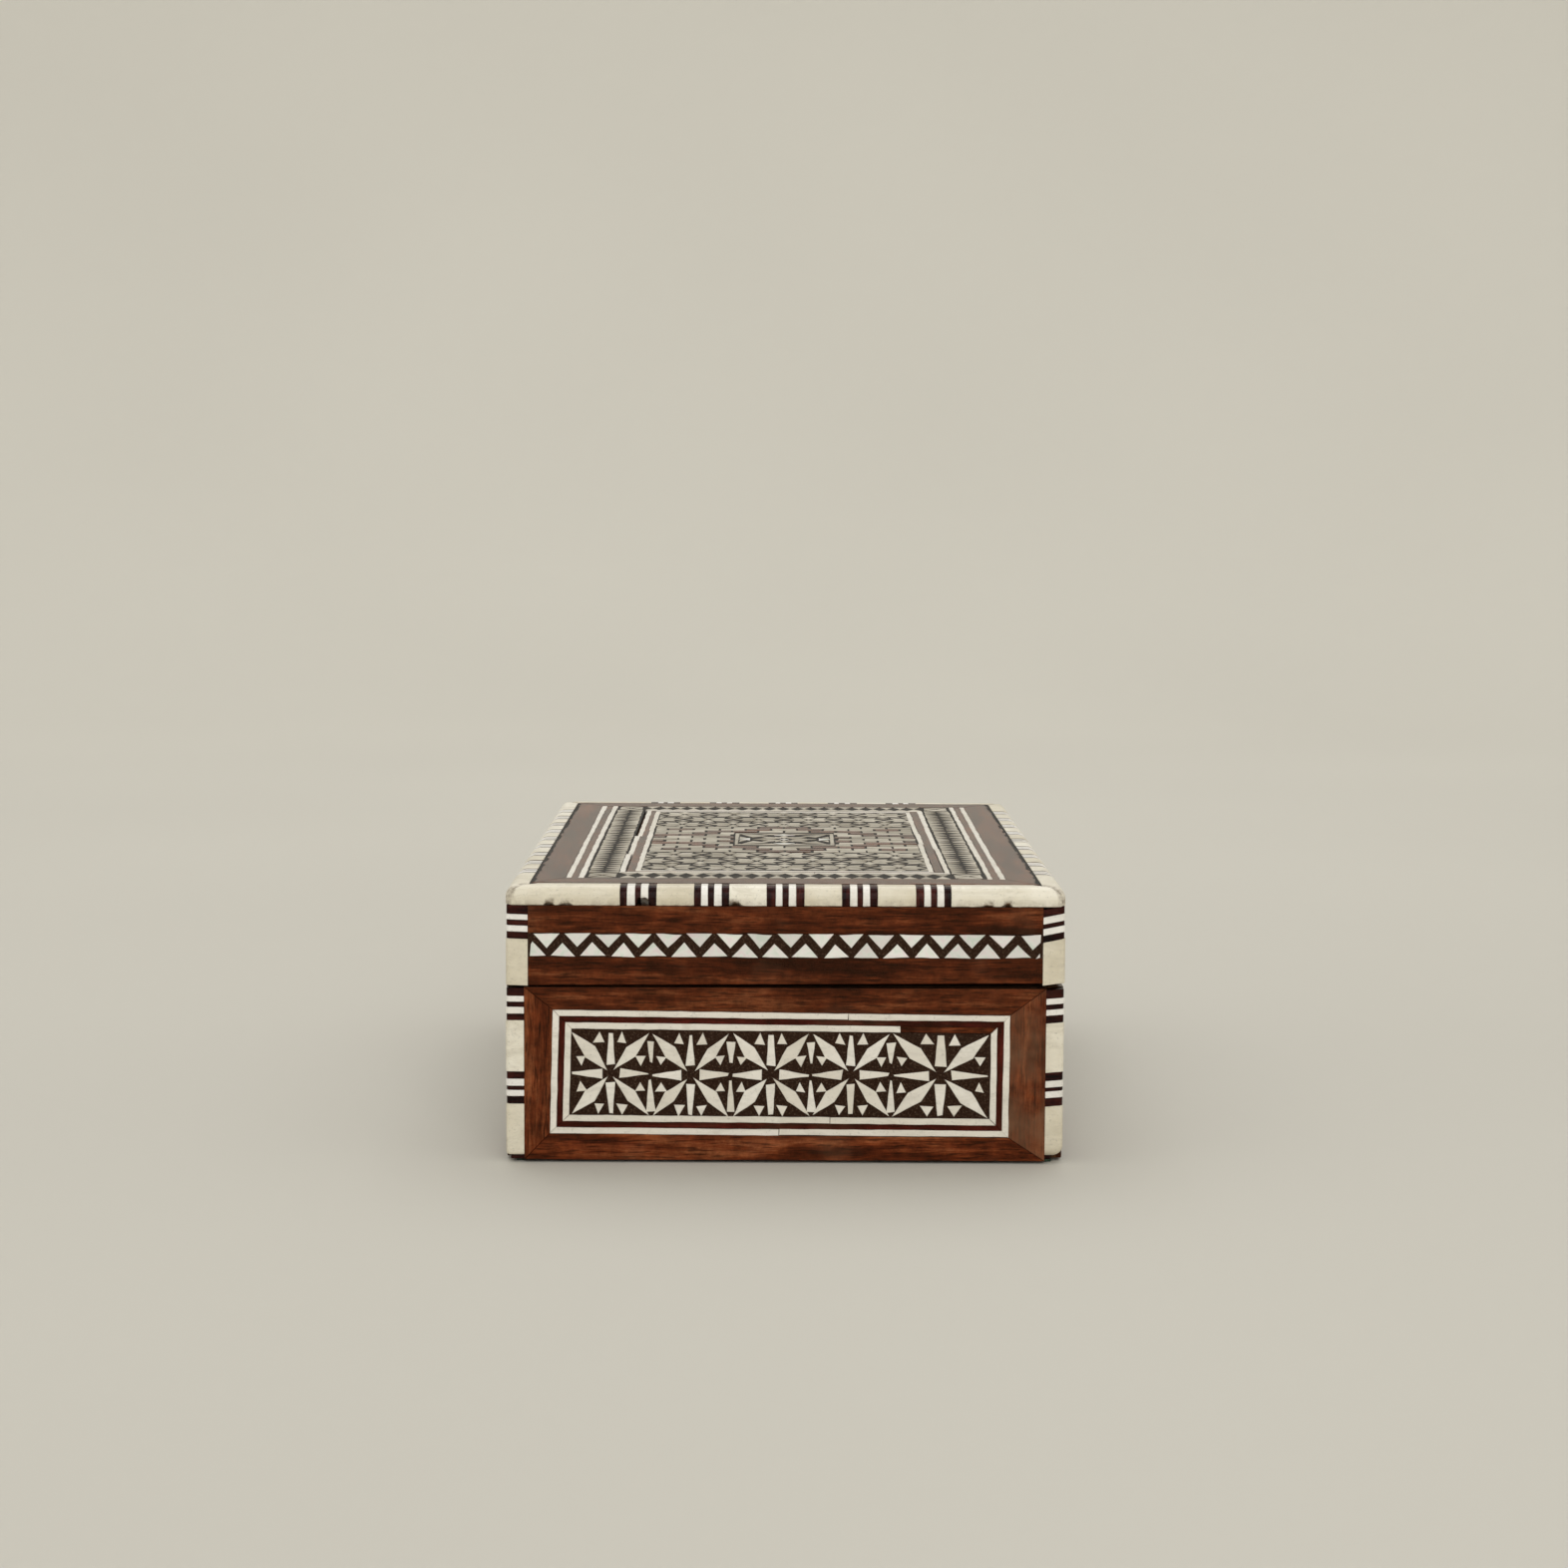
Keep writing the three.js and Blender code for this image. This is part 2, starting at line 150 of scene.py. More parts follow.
def ragged(a, b, rng, depth):
    """Points from a towards b, each moved to the left of that way by up to a depth."""
    length = math.dist(a, b)
    left = ((a[1] - b[1]) / length, (b[0] - a[0]) / length)
    pieces = max(1, int(length / RAGGED_STEP))
    made = []
    for k in range(pieces):
        u, v = between(a, b, k / pieces)
        off = depth * rng.random() if k else 0.0
        made.append((u + left[0] * off, v + left[1] * off))
    return made


def laid_pieces(member, rng, length=45.0, shift=0.05, cuts=None, offs=None):
    """A long strip as the pieces that it was laid from, each a little off the line."""
    spans = extent(member)
    axis = 0 if spans[0] > spans[1] else 1
    low = min(p[axis] for p in member)
    count = max(1, round(spans[axis] / length))
    cuts = cuts or [low + spans[axis] * (k + rng.uniform(-0.3, 0.3)) / count for k in range(1, count)]
    offs = offs or [rng.uniform(-shift, shift) for _ in range(count)]
    pieces = []
    for start, end, off in zip([low - 1] + cuts, cuts + [low + spans[axis] + 1], offs):
        moved = (off, 0.0) if axis else (0.0, off)
        piece = clipped(member, start + HAIRLINE, end - HAIRLINE, axis)
        pieces.append([(u + moved[0], v + moved[1]) for u, v in piece])
    return pieces


def rectangle(low_u, high_u, low_v, high_v):
    return [(low_u, low_v), (high_u, low_v), (high_u, high_v), (low_u, high_v)]


def rounded_rectangle(half_u, half_v, radius, side_steps=30, corner_steps=6):
    """Points anticlockwise round a rectangle with round corners."""
    arcs = []
    for quarter, (sign_u, sign_v) in enumerate(((1, 1), (-1, 1), (-1, -1), (1, -1))):
        centre_u = sign_u * (half_u - radius)
        centre_v = sign_v * (half_v - radius)
        angles = [math.pi / 2 * (quarter + k / corner_steps) for k in range(corner_steps + 1)]
        arcs.append([(centre_u + radius * math.cos(a), centre_v + radius * math.sin(a)) for a in angles])
    made = []
    for arc, after in zip(arcs, arcs[1:] + arcs[:1]):
        made += arc + [between(arc[-1], after[0], k / side_steps) for k in range(1, side_steps)]
    return made


def quarter_turned(outline, quarters):
    for _ in range(quarters % 4):
        outline = [(-v, u) for u, v in outline]
    return outline


def mitred_ring(outer, inner):
    """The four members between two four-cornered outlines: bottom, right, top, left."""
    return [
        [outer[i], outer[(i + 1) % 4], inner[(i + 1) % 4], inner[i]]
        for i in range(4)
    ]


# ---- Faces of the box ----
class Face:
    def __init__(self, name, across, up, out, origin):
        self.name = name
        self.across = Vector(across)
        self.up = Vector(up)
        self.out = Vector(out)
        self.origin = Vector(origin)

    def point(self, u, v, n):
        return (self.origin + self.across * u + self.up * v + self.out * n) * MM

    def span(self, node):
        """(low u, high u, low v, high v) of a CAD node on this face."""
        corners = [Vector(c) / MM - self.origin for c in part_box(node)]
        us = sorted(c.dot(self.across) for c in corners)
        vs = sorted(c.dot(self.up) for c in corners)
        return us[0], us[1], vs[0], vs[1]


STRIP_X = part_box("lid_edge_strip_opening_side")[1].x / MM
STRIP_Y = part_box("lid_edge_strip_back_end")[1].y / MM
TOP_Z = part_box("lid_top_field")[1].z / MM
UP = (0, 0, 1)
SIDES = [
    Face("front_end", (1, 0, 0), UP, (0, -1, 0), (0, -STRIP_Y, 0)),
    Face("back_end", (-1, 0, 0), UP, (0, 1, 0), (0, STRIP_Y, 0)),
    Face("hinge_side", (0, -1, 0), UP, (-1, 0, 0), (-STRIP_X, 0, 0)),
    Face("opening_side", (0, 1, 0), UP, (1, 0, 0), (STRIP_X, 0, 0)),
]
TOP = Face("top", (1, 0, 0), (0, 1, 0), UP, (0, 0, TOP_Z))
PLAN = Face("plan", (1, 0, 0), (0, 1, 0), UP, (0, 0, 0))
CORNERS = {
    "front_hinge": (-1, -1),
    "front_opening": (1, -1),
    "back_opening": (1, 1),
    "back_hinge": (-1, 1),
}
HINGES = ("front", "back")
HINGE_CLEARANCE = 0.3


def grain_name(direction):
    return "xyz"[max(range(3), key=lambda i: abs(direction[i]))]


# ---- Meshes ----
def between_rings(a, b, size):
    """The faces between two rings of points, which start at a and at b."""
    return [(a + k, a + (k + 1) % size, b + (k + 1) % size, b + k) for k in range(size)]


def new_object(name, data):
    made = bpy.data.objects.new(name, data)
    bpy.context.scene.collection.objects.link(made)
    return made


def new_mesh(name, points, faces, materials, smooth):
    mesh = bpy.data.meshes.new(name)
    mesh.from_pydata(points, [], faces)
    for material in materials:
        mesh.materials.append(material)
    mesh.polygons.foreach_set("use_smooth", [smooth] * len(faces))
    return mesh


def new_piece(name, mesh, body, slot, nodes):
    """A visual piece that rides a body and stands for CAD nodes."""
    piece = new_object(name, mesh)
    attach(piece, body)
    if nodes:
        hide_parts(*nodes)
    return piece


class Pile:
    """Collects solids for one piece. Each solid has its own tone, in a range from 0 to 1."""

    def __init__(self, name, seed, tones=(0.0, 1.0)):
        self.name = name
        self.tone_range = tones
        self.rng = random.Random(seed)
        self.points, self.tones, self.rims = [], [], []
        self.faces, self.kinds, self.materials = [], [], []

    def kind(self, material):
        if material not in self.materials:
            self.materials.append(material)
        return self.materials.index(material)

    def rings(self, rings, material, rims=None, tone=None):
        """A closed solid through rings of points, each ring with as many points, capped at both ends."""
        start = len(self.points)
        size = len(rings[0])
        drawn = self.rng.uniform(*self.tone_range)
        tone = drawn if tone is None else tone
        kind = self.kind(material)
        for index, ring in enumerate(rings):
            self.points.extend(ring)
            self.tones.extend([tone] * size)
            rim = rims[index] if rims else 0.0
            self.rims.extend(rim if isinstance(rim, list) else [rim] * size)
        for level in range(len(rings) - 1):
            a = start + level * size
            self.faces += between_rings(a, a + size, size)
        self.faces.append(tuple(start + k for k in reversed(range(size))))
        self.faces.append(tuple(start + (len(rings) - 1) * size + k for k in range(size)))
        self.kinds.extend([kind] * (len(self.faces) - len(self.kinds)))

    def tile(self, face, outline, material, high=0.0, low=-VENEER, edge=SOFT_EDGE, both=False, rise=0.0,
             tone=None):
        """An outline on a face made into a plate, soft round its top and tilted by up to a rise."""
        outline = turned_round(outline)
        small = inset(outline, edge)
        slopes = [self.rng.uniform(-rise, rise) / max(size, 1.0) for size in extent(outline)]
        middle = [sum(values) / len(outline) for values in zip(*outline)]
        levels = [(outline, low, 1.0), (outline, high - edge, 1.0), (small, high, 0.0)]
        if both:
            levels[0] = (outline, low + edge, 1.0)
            levels.insert(0, (small, low, 0.0))
        rings = [
            [face.point(u, v, n + slopes[0] * (u - middle[0]) + slopes[1] * (v - middle[1])) for u, v in ring]
            for ring, n, _ in levels
        ]
        self.rings(rings, material, [rim for _, _, rim in levels], tone)

    def build(self, body, slot, nodes=()):
        points = [tuple(p) for p in self.points]
        mesh = new_mesh(self.name, points, self.faces, self.materials, smooth=False)
        mesh.polygons.foreach_set("material_index", self.kinds)
        for name, values in (("tone", self.tones), ("rim", self.rims)):
            mesh.attributes.new(name, "FLOAT", "POINT").data.foreach_set("value", values)
        mesh.update()
        return new_piece(self.name, mesh, body, slot, nodes)


# ---- Materials ----
class Paint:
    """A node material around one Principled shader."""

    def __init__(self, name, **constants):
        self.material = bpy.data.materials.new(name)
        self.material.use_nodes = True
        self.tree = self.material.node_tree
        self.shader = self.tree.nodes["Principled BSDF"]
        for socket, value in constants.items():
            self.shader.inputs[socket.replace("_", " ")].default_value = value
        self.place = self.node("ShaderNodeTexCoord").outputs["Object"]

    def node(self, kind, inputs=None, **settings):
        made = self.tree.nodes.new(kind)
        for name, value in settings.items():
            setattr(made, name, value)
        for name, value in (inputs or {}).items():
            if isinstance(value, bpy.types.NodeSocket):
                self.tree.links.new(value, made.inputs[name])
            else:
                made.inputs[name].default_value = value
        return made

    def set(self, socket, value):
        self.tree.links.new(value, self.shader.inputs[socket])

    def stretched(self, scale):
        """Places stretched by a scale, for grain."""
        return self.node("ShaderNodeMapping", {"Vector": self.place, "Scale": scale}).outputs["Vector"]

    def noise(self, scale, detail=3.0, roughness=0.5, vector=None, distortion=0.0):
        inputs = {"Vector": vector or self.place, "Scale": scale, "Detail": detail}
        inputs.update({"Roughness": roughness, "Distortion": distortion})
        return self.node("ShaderNodeTexNoise", inputs).outputs["Fac"]

    def attribute(self, name):
        return self.node("ShaderNodeAttribute", attribute_name=name).outputs["Fac"]

    def ramp(self, factor, stops):
        """Colours or greys along a factor. A stop is (place, colour)."""
        made = self.node("ShaderNodeValToRGB", {"Fac": factor})
        elements = made.color_ramp.elements
        while len(elements) < len(stops):
            elements.new(0.5)
        for element, (place, colour) in zip(elements, stops):
            element.position = place
            element.color = (*colour, 1) if isinstance(colour, tuple) else (colour, colour, colour, 1)
        return made.outputs["Color"]

    def mix(self, factor, a, b, blend="MIX"):
        a, b = ((*value, 1) if isinstance(value, tuple) else value for value in (a, b))
        made = self.node("ShaderNodeMix", {0: factor, 6: a, 7: b}, data_type="RGBA", blend_type=blend)
        return made.outputs[2]

    def times(self, colour, shade):
        return self.mix(1.0, colour, shade, "MULTIPLY")

    def maths(self, operation, a, b):
        return self.node("ShaderNodeMath", {0: a, 1: b}, operation=operation).outputs[0]

    def bump(self, height, strength, distance):
        inputs = {"Height": height, "Strength": strength, "Distance": distance}
        self.set("Normal", self.node("ShaderNodeBump", inputs).outputs["Normal"])


# A thin worn lacquer: little shine from in front, much at a low angle. Over wood it takes the wood's warmth.
LACQUER = {"IOR": 1.37}
WARM_LACQUER = {"IOR": 1.42, "Specular_Tint": (0.8, 0.38, 0.22, 1.0)}
DRY = {"IOR": 1.2}
GRAIN_LENGTH = 11.0  # how much longer the figure of the wood is than it is wide


def bone_paint(name, light, dark, dirt_and_shade=0.5):
    """Cream bone: cloudy, faintly streaked, with fine pores, and darker at its rims: dirt along worn edges,
    and painted shade in broken chips.
    """
    paint = Paint(name, Roughness=0.30, **LACQUER)
    cloud = paint.noise(150, 3, 0.6)
    tone = paint.maths("MULTIPLY", paint.attribute("tone"), 0.55)
    share = paint.maths("ADD", paint.maths("MULTIPLY", cloud, 0.75), tone)
    colour = paint.mix(paint.ramp(share, [(0.25, 0.0), (1.0, 1.0)]), light, dark)
    streaks = paint.noise(420, 4, 0.7, paint.stretched((0.35, 0.35, 1.0)), 1.0)
    stain = tuple(0.80 * part for part in dark)
    colour = paint.mix(paint.ramp(streaks, [(0.46, 0.0), (0.68, 0.55)]), colour, stain)
    pores = paint.ramp(paint.noise(1900, 2, 0.7), [(0.28, 0.80), (0.40, 1.0)])
    colour = paint.times(colour, pores)
    worn = paint.ramp(paint.noise(700, 3, 0.7), [(0.35, 0.2), (0.65, 1.0)])
    # Darker along the rims: dirt at worn edges, and painted shade where a broken chip's rim value goes over
    # 1.
    rim = paint.maths("MULTIPLY", paint.maths("MULTIPLY", paint.attribute("rim"), dirt_and_shade), worn)
    paint.set("Base Color", paint.mix(rim, colour, (0.10, 0.055, 0.025)))
    paint.bump(paint.noise(900, 3), 0.12, 0.0002)
    return paint.material


def pearl_paint():
    """Mother of pearl: pale, with faint pink and green clouds."""
    paint = Paint("pearl", Roughness=0.30, **LACQUER)
    hue = paint.noise(420, 2, 0.5, distortion=1.5)
    tint = [(0.30, (0.76, 0.82, 0.73)), (0.50, (0.88, 0.87, 0.82)), (0.70, (0.88, 0.78, 0.77))]
    colour = paint.ramp(hue, tint)
    tone = paint.ramp(paint.attribute("tone"), [(0.0, 0.80), (1.0, 1.0)])
    colour = paint.times(colour, tone)
    rim = paint.maths("MULTIPLY", paint.attribute("rim"), 0.5)
    paint.set("Base Color", paint.mix(rim, colour, (0.25, 0.20, 0.14)))
    paint.bump(paint.noise(700, 2), 0.10, 0.0002)
    return paint.material


def wood_paint(name, axis, shades, gloss=0.26, worn=0.4, worn_from=0.54, lacquer=WARM_LACQUER):
    """Veneer with its grain along one axis: broad bands, figured streaks, fine pores and rubbed patches."""
    paint = Paint(name, Roughness=gloss, **lacquer)
    stretch = [1.0, 1.0, 1.0]
    stretch["xyz".index(axis)] = 1.0 / GRAIN_LENGTH
    across = paint.stretched(stretch)
    broad = paint.noise(210, 4, 0.6, across, 0.9)
    streaks = paint.noise(900, 4, 0.7, across, 0.4)
    share = paint.maths("ADD", paint.maths("MULTIPLY", broad, 0.55), paint.maths("MULTIPLY", streaks, 0.45))
    places = [0.38, 0.465, 0.535, 0.62]
    colour = paint.ramp(share, list(zip(places, shades)))
    tone = paint.ramp(paint.attribute("tone"), [(0.0, 0.66), (1.0, 1.22)])
    colour = paint.times(colour, tone)
    mottle = paint.ramp(paint.noise(380, 5, 0.75), [(0.34, 0.55), (0.50, 1.0), (0.66, 1.50)])
    colour = paint.times(colour, mottle)
    pores = paint.ramp(paint.noise(2400, 2, 0.5, across), [(0.36, 0.35), (0.47, 1.0)])
    colour = paint.times(colour, pores)
    rubbed = paint.ramp(paint.noise(48, 4, 0.65), [(worn_from, 0.0), (worn_from + 0.24, worn)])
    rubbed = paint.maths("MULTIPLY", rubbed, tone)
    colour = paint.mix(rubbed, colour, (0.16, 0.085, 0.048))
    rim = paint.maths("MULTIPLY", paint.attribute("rim"), 0.75)
    paint.set("Base Color", paint.mix(rim, colour, (0.012, 0.004, 0.002)))
    paint.bump(streaks, 0.15, 0.0002)
    return paint.material


def filler_paint(name, roughness, lacquer):
    """Dark granular filler between the tiles."""
    paint = Paint(name, Roughness=roughness, **lacquer)
    grains = paint.noise(2600, 2, 0.8)
    stops = [(0.40, (0.003, 0.002, 0.002)), (0.56, (0.012, 0.008, 0.006)), (0.72, (0.075, 0.056, 0.040))]
    paint.set("Base Color", paint.ramp(grains, stops))
    paint.bump(grains, 0.35, 0.0003)
    return paint.material


def brass_paint():
    paint = Paint("brass", Metallic=1.0)
    tarnish = paint.noise(500, 4, 0.6)
    stops = [(0.35, (0.20, 0.12, 0.04)), (0.60, (0.62, 0.43, 0.16))]
    paint.set("Base Color", paint.ramp(tarnish, stops))
    paint.set("Roughness", paint.ramp(tarnish, [(0.3, 0.6), (0.7, 0.32)]))
    paint.bump(paint.noise(3000, 2), 0.15, 0.0002)
    return paint.material


def velvet_paint():
    """Short red pile with a soft sheen and brushed patches."""
    paint = Paint("velvet", Roughness=0.9, Sheen_Weight=0.55, Sheen_Roughness=0.35)
    paint.shader.inputs["Sheen Tint"].default_value = (0.9, 0.35, 0.35, 1)
    patches = paint.noise(60, 3, 0.6)
    pile = paint.noise(3500, 2, 0.7)
    colour = paint.ramp(patches, [(0.35, (0.085, 0.004, 0.008)), (0.65, (0.17, 0.010, 0.016))])
    paint.set("Base Color", paint.times(colour, paint.ramp(pile, [(0.3, 0.6), (0.7, 1.1)])))
    paint.bump(pile, 0.5, 0.0004)
    return paint.material


def felt_paint():
    paint = Paint("felt", Roughness=0.95)
    fibres = paint.noise(2200, 4, 0.8, distortion=2.0)
    paint.set("Base Color", paint.ramp(fibres, [(0.3, (0.010, 0.022, 0.012)), (0.7, (0.04, 0.075, 0.045))]))
    paint.bump(fibres, 0.5, 0.0004)
    return paint.material


WALNUT = [(0.018, 0.003, 0.001), (0.062, 0.011, 0.003), (0.125, 0.027, 0.008), (0.210, 0.064, 0.024)]
STAINED = [(0.009, 0.001, 0.001), (0.022, 0.003, 0.002), (0.038, 0.006, 0.004), (0.060, 0.013, 0.008)]
RED = [(0.016, 0.001, 0.001), (0.036, 0.002, 0.002), (0.058, 0.005, 0.004), (0.090, 0.010, 0.008)]
SOFTWOOD = [(0.045, 0.018, 0.008), (0.110, 0.048, 0.020), (0.180, 0.085, 0.038), (0.260, 0.135, 0.065)]
BONE = bone_paint("bone", (0.945, 0.905, 0.790), (0.720, 0.655, 0.505), dirt_and_shade=0.8)
SLIP_BONE = bone_paint("slip_bone", (0.97, 0.955, 0.92), (0.88, 0.845, 0.77), dirt_and_shade=0.6)
STAR_BONE = bone_paint("star_bone", (0.90, 0.865, 0.79), (0.75, 0.70, 0.60))
TOP_BONE = bone_paint("top_bone", (0.64, 0.59, 0.49), (0.27, 0.235, 0.175))
PEARL = pearl_paint()
FILLER = filler_paint("filler", 0.36, WARM_LACQUER)
TOP_FILLER = filler_paint("top_filler", 0.5, DRY)  # the lacquer is worn off the top's filler
WOOD = {axis: wood_paint(f"walnut_{axis}", axis, WALNUT) for axis in "xyz"}
SCUFFED_WOOD = wood_paint("walnut_scuffed", "z", WALNUT, worn=0.9, worn_from=0.38)
DARK_WOOD = {axis: wood_paint(f"dark_wood_{axis}", axis, STAINED, worn=0.0, lacquer=DRY) for axis in "xyz"}
RED_WOOD = {axis: wood_paint(f"red_wood_{axis}", axis, RED) for axis in "xyz"}
CARCASS = {axis: wood_paint(f"carcass_{axis}", axis, SOFTWOOD, gloss=0.6) for axis in "xy"}
BRASS = brass_paint()
VELVET = velvet_paint()
FELT = felt_paint()


# ---- Star panels of the lower half ----
def placed(points, cell, flip_u=1, flip_v=1):
    """Points drawn for a cell of the usual size, moved into a cell with a centre, width and height."""
    (centre_u, centre_v), width, height = cell
    scale_u = width / STAR_PITCH
    scale_v = height / STAR_HEIGHT
    return [(centre_u + u * scale_u * flip_u, centre_v + v * scale_v * flip_v) for u, v in points]


def star_tiles(cell):
    """One eight-rayed star: four diagonal petals, four spokes and four small triangles."""
    petal = [(0.5, 0.5), (4.7, 2.9), (7.1, 7.25), (2.95, 4.7)]
    spoke_up = [(-0.9, 1.55), (0.9, 1.55), (0.38, 6.9), (-0.38, 6.9)]
    spoke_out = [(1.6, -0.9), (1.6, 0.9), (7.0, 0.22), (7.0, -0.22)]
    small_up = [(1.1, 5.3), (3.1, 5.3), (2.1, 7.2)]
    tiles = []
    for flip_u in (1, -1):
        for flip_v in (1, -1):
            tiles.append(placed(petal, cell, flip_u, flip_v))
            tiles.append(placed(small_up, cell, flip_u, flip_v))
        tiles.append(placed(spoke_out, cell, flip_u))
        tiles.append(placed(spoke_up, cell, 1, flip_u))
    return tiles


def between_tiles(cell, sides=(-1, 1)):
    """Between two stars: a spoke from above, one from below and two small triangles on each side."""
    tiles = []
    if len(sides) == 2:
        tiles.append(placed([(-0.8, 5.6), (0.8, 5.6), (0.25, 1.9), (-0.25, 1.9)], cell))
        tiles.append(placed([(-0.9, -6.6), (0.9, -6.6), (0.25, -1.0), (-0.25, -1.0)], cell))
    for side in sides:
        tiles.append(placed([(0.9, 3.1), (2.9, 3.0), (1.9, 1.3)], cell, side))
        tiles.append(placed([(0.9, -3.1), (2.9, -3.0), (1.9, -1.3)], cell, side))
    return tiles


# The panel on the front was set a little crooked: how far its four corners are off, from bottom left round.
FRONT_SKEW = [(-1.0, 0.1), (-1.0, -0.4), (-0.8, -0.5), (-0.4, 0.2)]
FRONT_CELL = 14.35  # the front's stars were set out from its left, and the last cell took what was left
FRONT_FRAME_TONES = (0.85, 0.80, 0.10, 0.50)  # of the front's frame: bottom, right, top, left
LOST_LINE_FROM = 20.6  # right of here the front's inner top line is missing
LOST_LINE_DEPTH = 0.3
FAR = 1000.0


def star_cells(face, low_u, high_u):
    """Where the star cells begin and end along a panel."""
    count = round((high_u - low_u) / STAR_PITCH)
    pitch = FRONT_CELL if face.name == "front_end" else (high_u - low_u) / count
    return [low_u + pitch * k for k in range(count)] + [high_u]


def hinge_notches(face, flat_v, sign):
    """Points that go round the hinge barrels along a face's seam edge, from low u to high u."""
    points = []
    if face.name == "hinge_side":
        for place in reversed(HINGES):
            low_u, high_u, low_v, high_v = face.span(f"hinge_{place}_base_leaf")
            deep_v = (high_v if sign > 0 else low_v) + sign * HINGE_CLEARANCE
            low_u -= HINGE_CLEARANCE
            high_u += HINGE_CLEARANCE
            points += [(low_u, flat_v(low_u)), (low_u, deep_v), (high_u, deep_v), (high_u, flat_v(high_u))]
    return points


def star_panel(face):
    rng = random.Random(face.name)
    wide = face.span(f"base_frame_{face.name}")
    hole = face.span(f"base_star_panel_{face.name}")
    wobble = [(rng.uniform(-0.5, 0.5), rng.uniform(-0.3, 0.3)) for _ in range(4)]
    front = face.name == "front_end"
    outer = [(u + du, v + dv) for (u, v), (du, dv) in zip(rectangle(*hole), FRONT_SKEW if front else wobble)]
    red_out = inset(outer, LINE)
    white_in = inset(red_out, RED_LINE)
    field = inset(white_in, LINE)
    along, upward = grain_name(face.across), grain_name(face.up)

    frame_wood = Pile(f"base_frame_wood_{face.name}", face.name, tones=(0.5, 1.0))
    for index, member in enumerate(mitred_ring(rectangle(*wide), outer)):
        if index == 2:
            member[1:1] = reversed(hinge_notches(face, lambda _: wide[3], -1))
        wood = SCUFFED_WOOD if front and index == 1 else WOOD[upward if index % 2 else along]
        tone = FRONT_FRAME_TONES[index] if front else None
        frame_wood.tile(face, member, wood, edge=WOOD_EDGE, tone=tone)
    frame_wood.build("base", "veneer_wood", [f"base_frame_{face.name}"])

    red = Pile(f"base_red_line_{face.name}", face.name)
    for index, member in enumerate(mitred_ring(red_out, white_in)):
        red.tile(face, member, RED_WOOD[upward if index % 2 else along], high=-LINE_SINK, edge=LINE_EDGE)

    white = Pile(f"base_white_lines_{face.name}", face.name)
    inner_ring = mitred_ring(white_in, field)
    if front:
        lost = clipped(inner_ring[2], LOST_LINE_FROM, FAR)
        red.tile(face, lost, WOOD[along], high=-LOST_LINE_DEPTH, edge=LINE_EDGE)
        inner_ring[2] = clipped(inner_ring[2], -FAR, LOST_LINE_FROM)
    for member in mitred_ring(outer, red_out) + inner_ring:
        for piece in laid_pieces(member, rng):
            white.tile(face, hand_cut(piece, rng, *LINE_CUT), STAR_BONE, high=TILE_PROUD)
    red.build("base", "veneer_wood")
    white.build("base", "bone_inlay")

    filler = Pile(f"base_filler_{face.name}", face.name)
    filler.tile(face, field, FILLER, high=-FILLER_SINK, edge=FILLER_EDGE)
    filler.build("base", "star_mosaic")

    cells = star_cells(face, (field[0][0] + field[3][0]) / 2, (field[1][0] + field[2][0]) / 2)
    middle_v = sum(v for _, v in field) / 4
    height = (field[3][1] + field[2][1] - field[0][1] - field[1][1]) / 2
    stars = Pile(f"base_stars_{face.name}", face.name)
    tiles = []
    for low_u, high_u in zip(cells, cells[1:]):
        centre = ((low_u + high_u) / 2, middle_v + rng.uniform(-0.25, 0.25))
        tiles += star_tiles((centre, high_u - low_u, height))
    for u in cells[1:-1]:
        tiles += between_tiles(((u, middle_v), STAR_PITCH, height))
    for u, inward in ((cells[0], 1), (cells[-1], -1)):
        tiles += between_tiles(((u, middle_v), STAR_PITCH, height), sides=(inward,))
    for outline in tiles:
        cut = hand_cut(turned_round(outline), rng, *TILE_CUT)
        high = rng.uniform(TILE_LOW, TILE_PROUD - TILE_LOW)
        stars.tile(face, cut, STAR_BONE, high=high, edge=0.10, rise=0.05)
    stars.build("base", "star_mosaic", [f"base_star_panel_{face.name}"])


# ---- Lid faces: two walnut bands and a zigzag of pearl triangles ----
def zigzag_tiles(low_u, high_u, low_v, high_v, start):
    """Triangles pointing up from the low edge and down from the high edge of a strip."""
    height = high_v - low_v
    half = ZIGZAG_PITCH * ZIGZAG_BASE / 2
    tiles = []
    count = int((high_u - low_u) / ZIGZAG_PITCH) + 3
    for k in range(-1, count):
        up = start + ZIGZAG_PITCH * k
        down = up + ZIGZAG_PITCH / 2
        rising = [(up - half, low_v), (up + half, low_v), (up, low_v + height * ZIGZAG_REACH)]
        falling = [(down - half, high_v), (down, high_v - height * ZIGZAG_REACH), (down + half, high_v)]
        tiles += [clipped(rising, low_u, high_u), clipped(falling, low_u, high_u)]
    return [tile for tile in tiles if tile and extent(tile)[0] > 0.8]


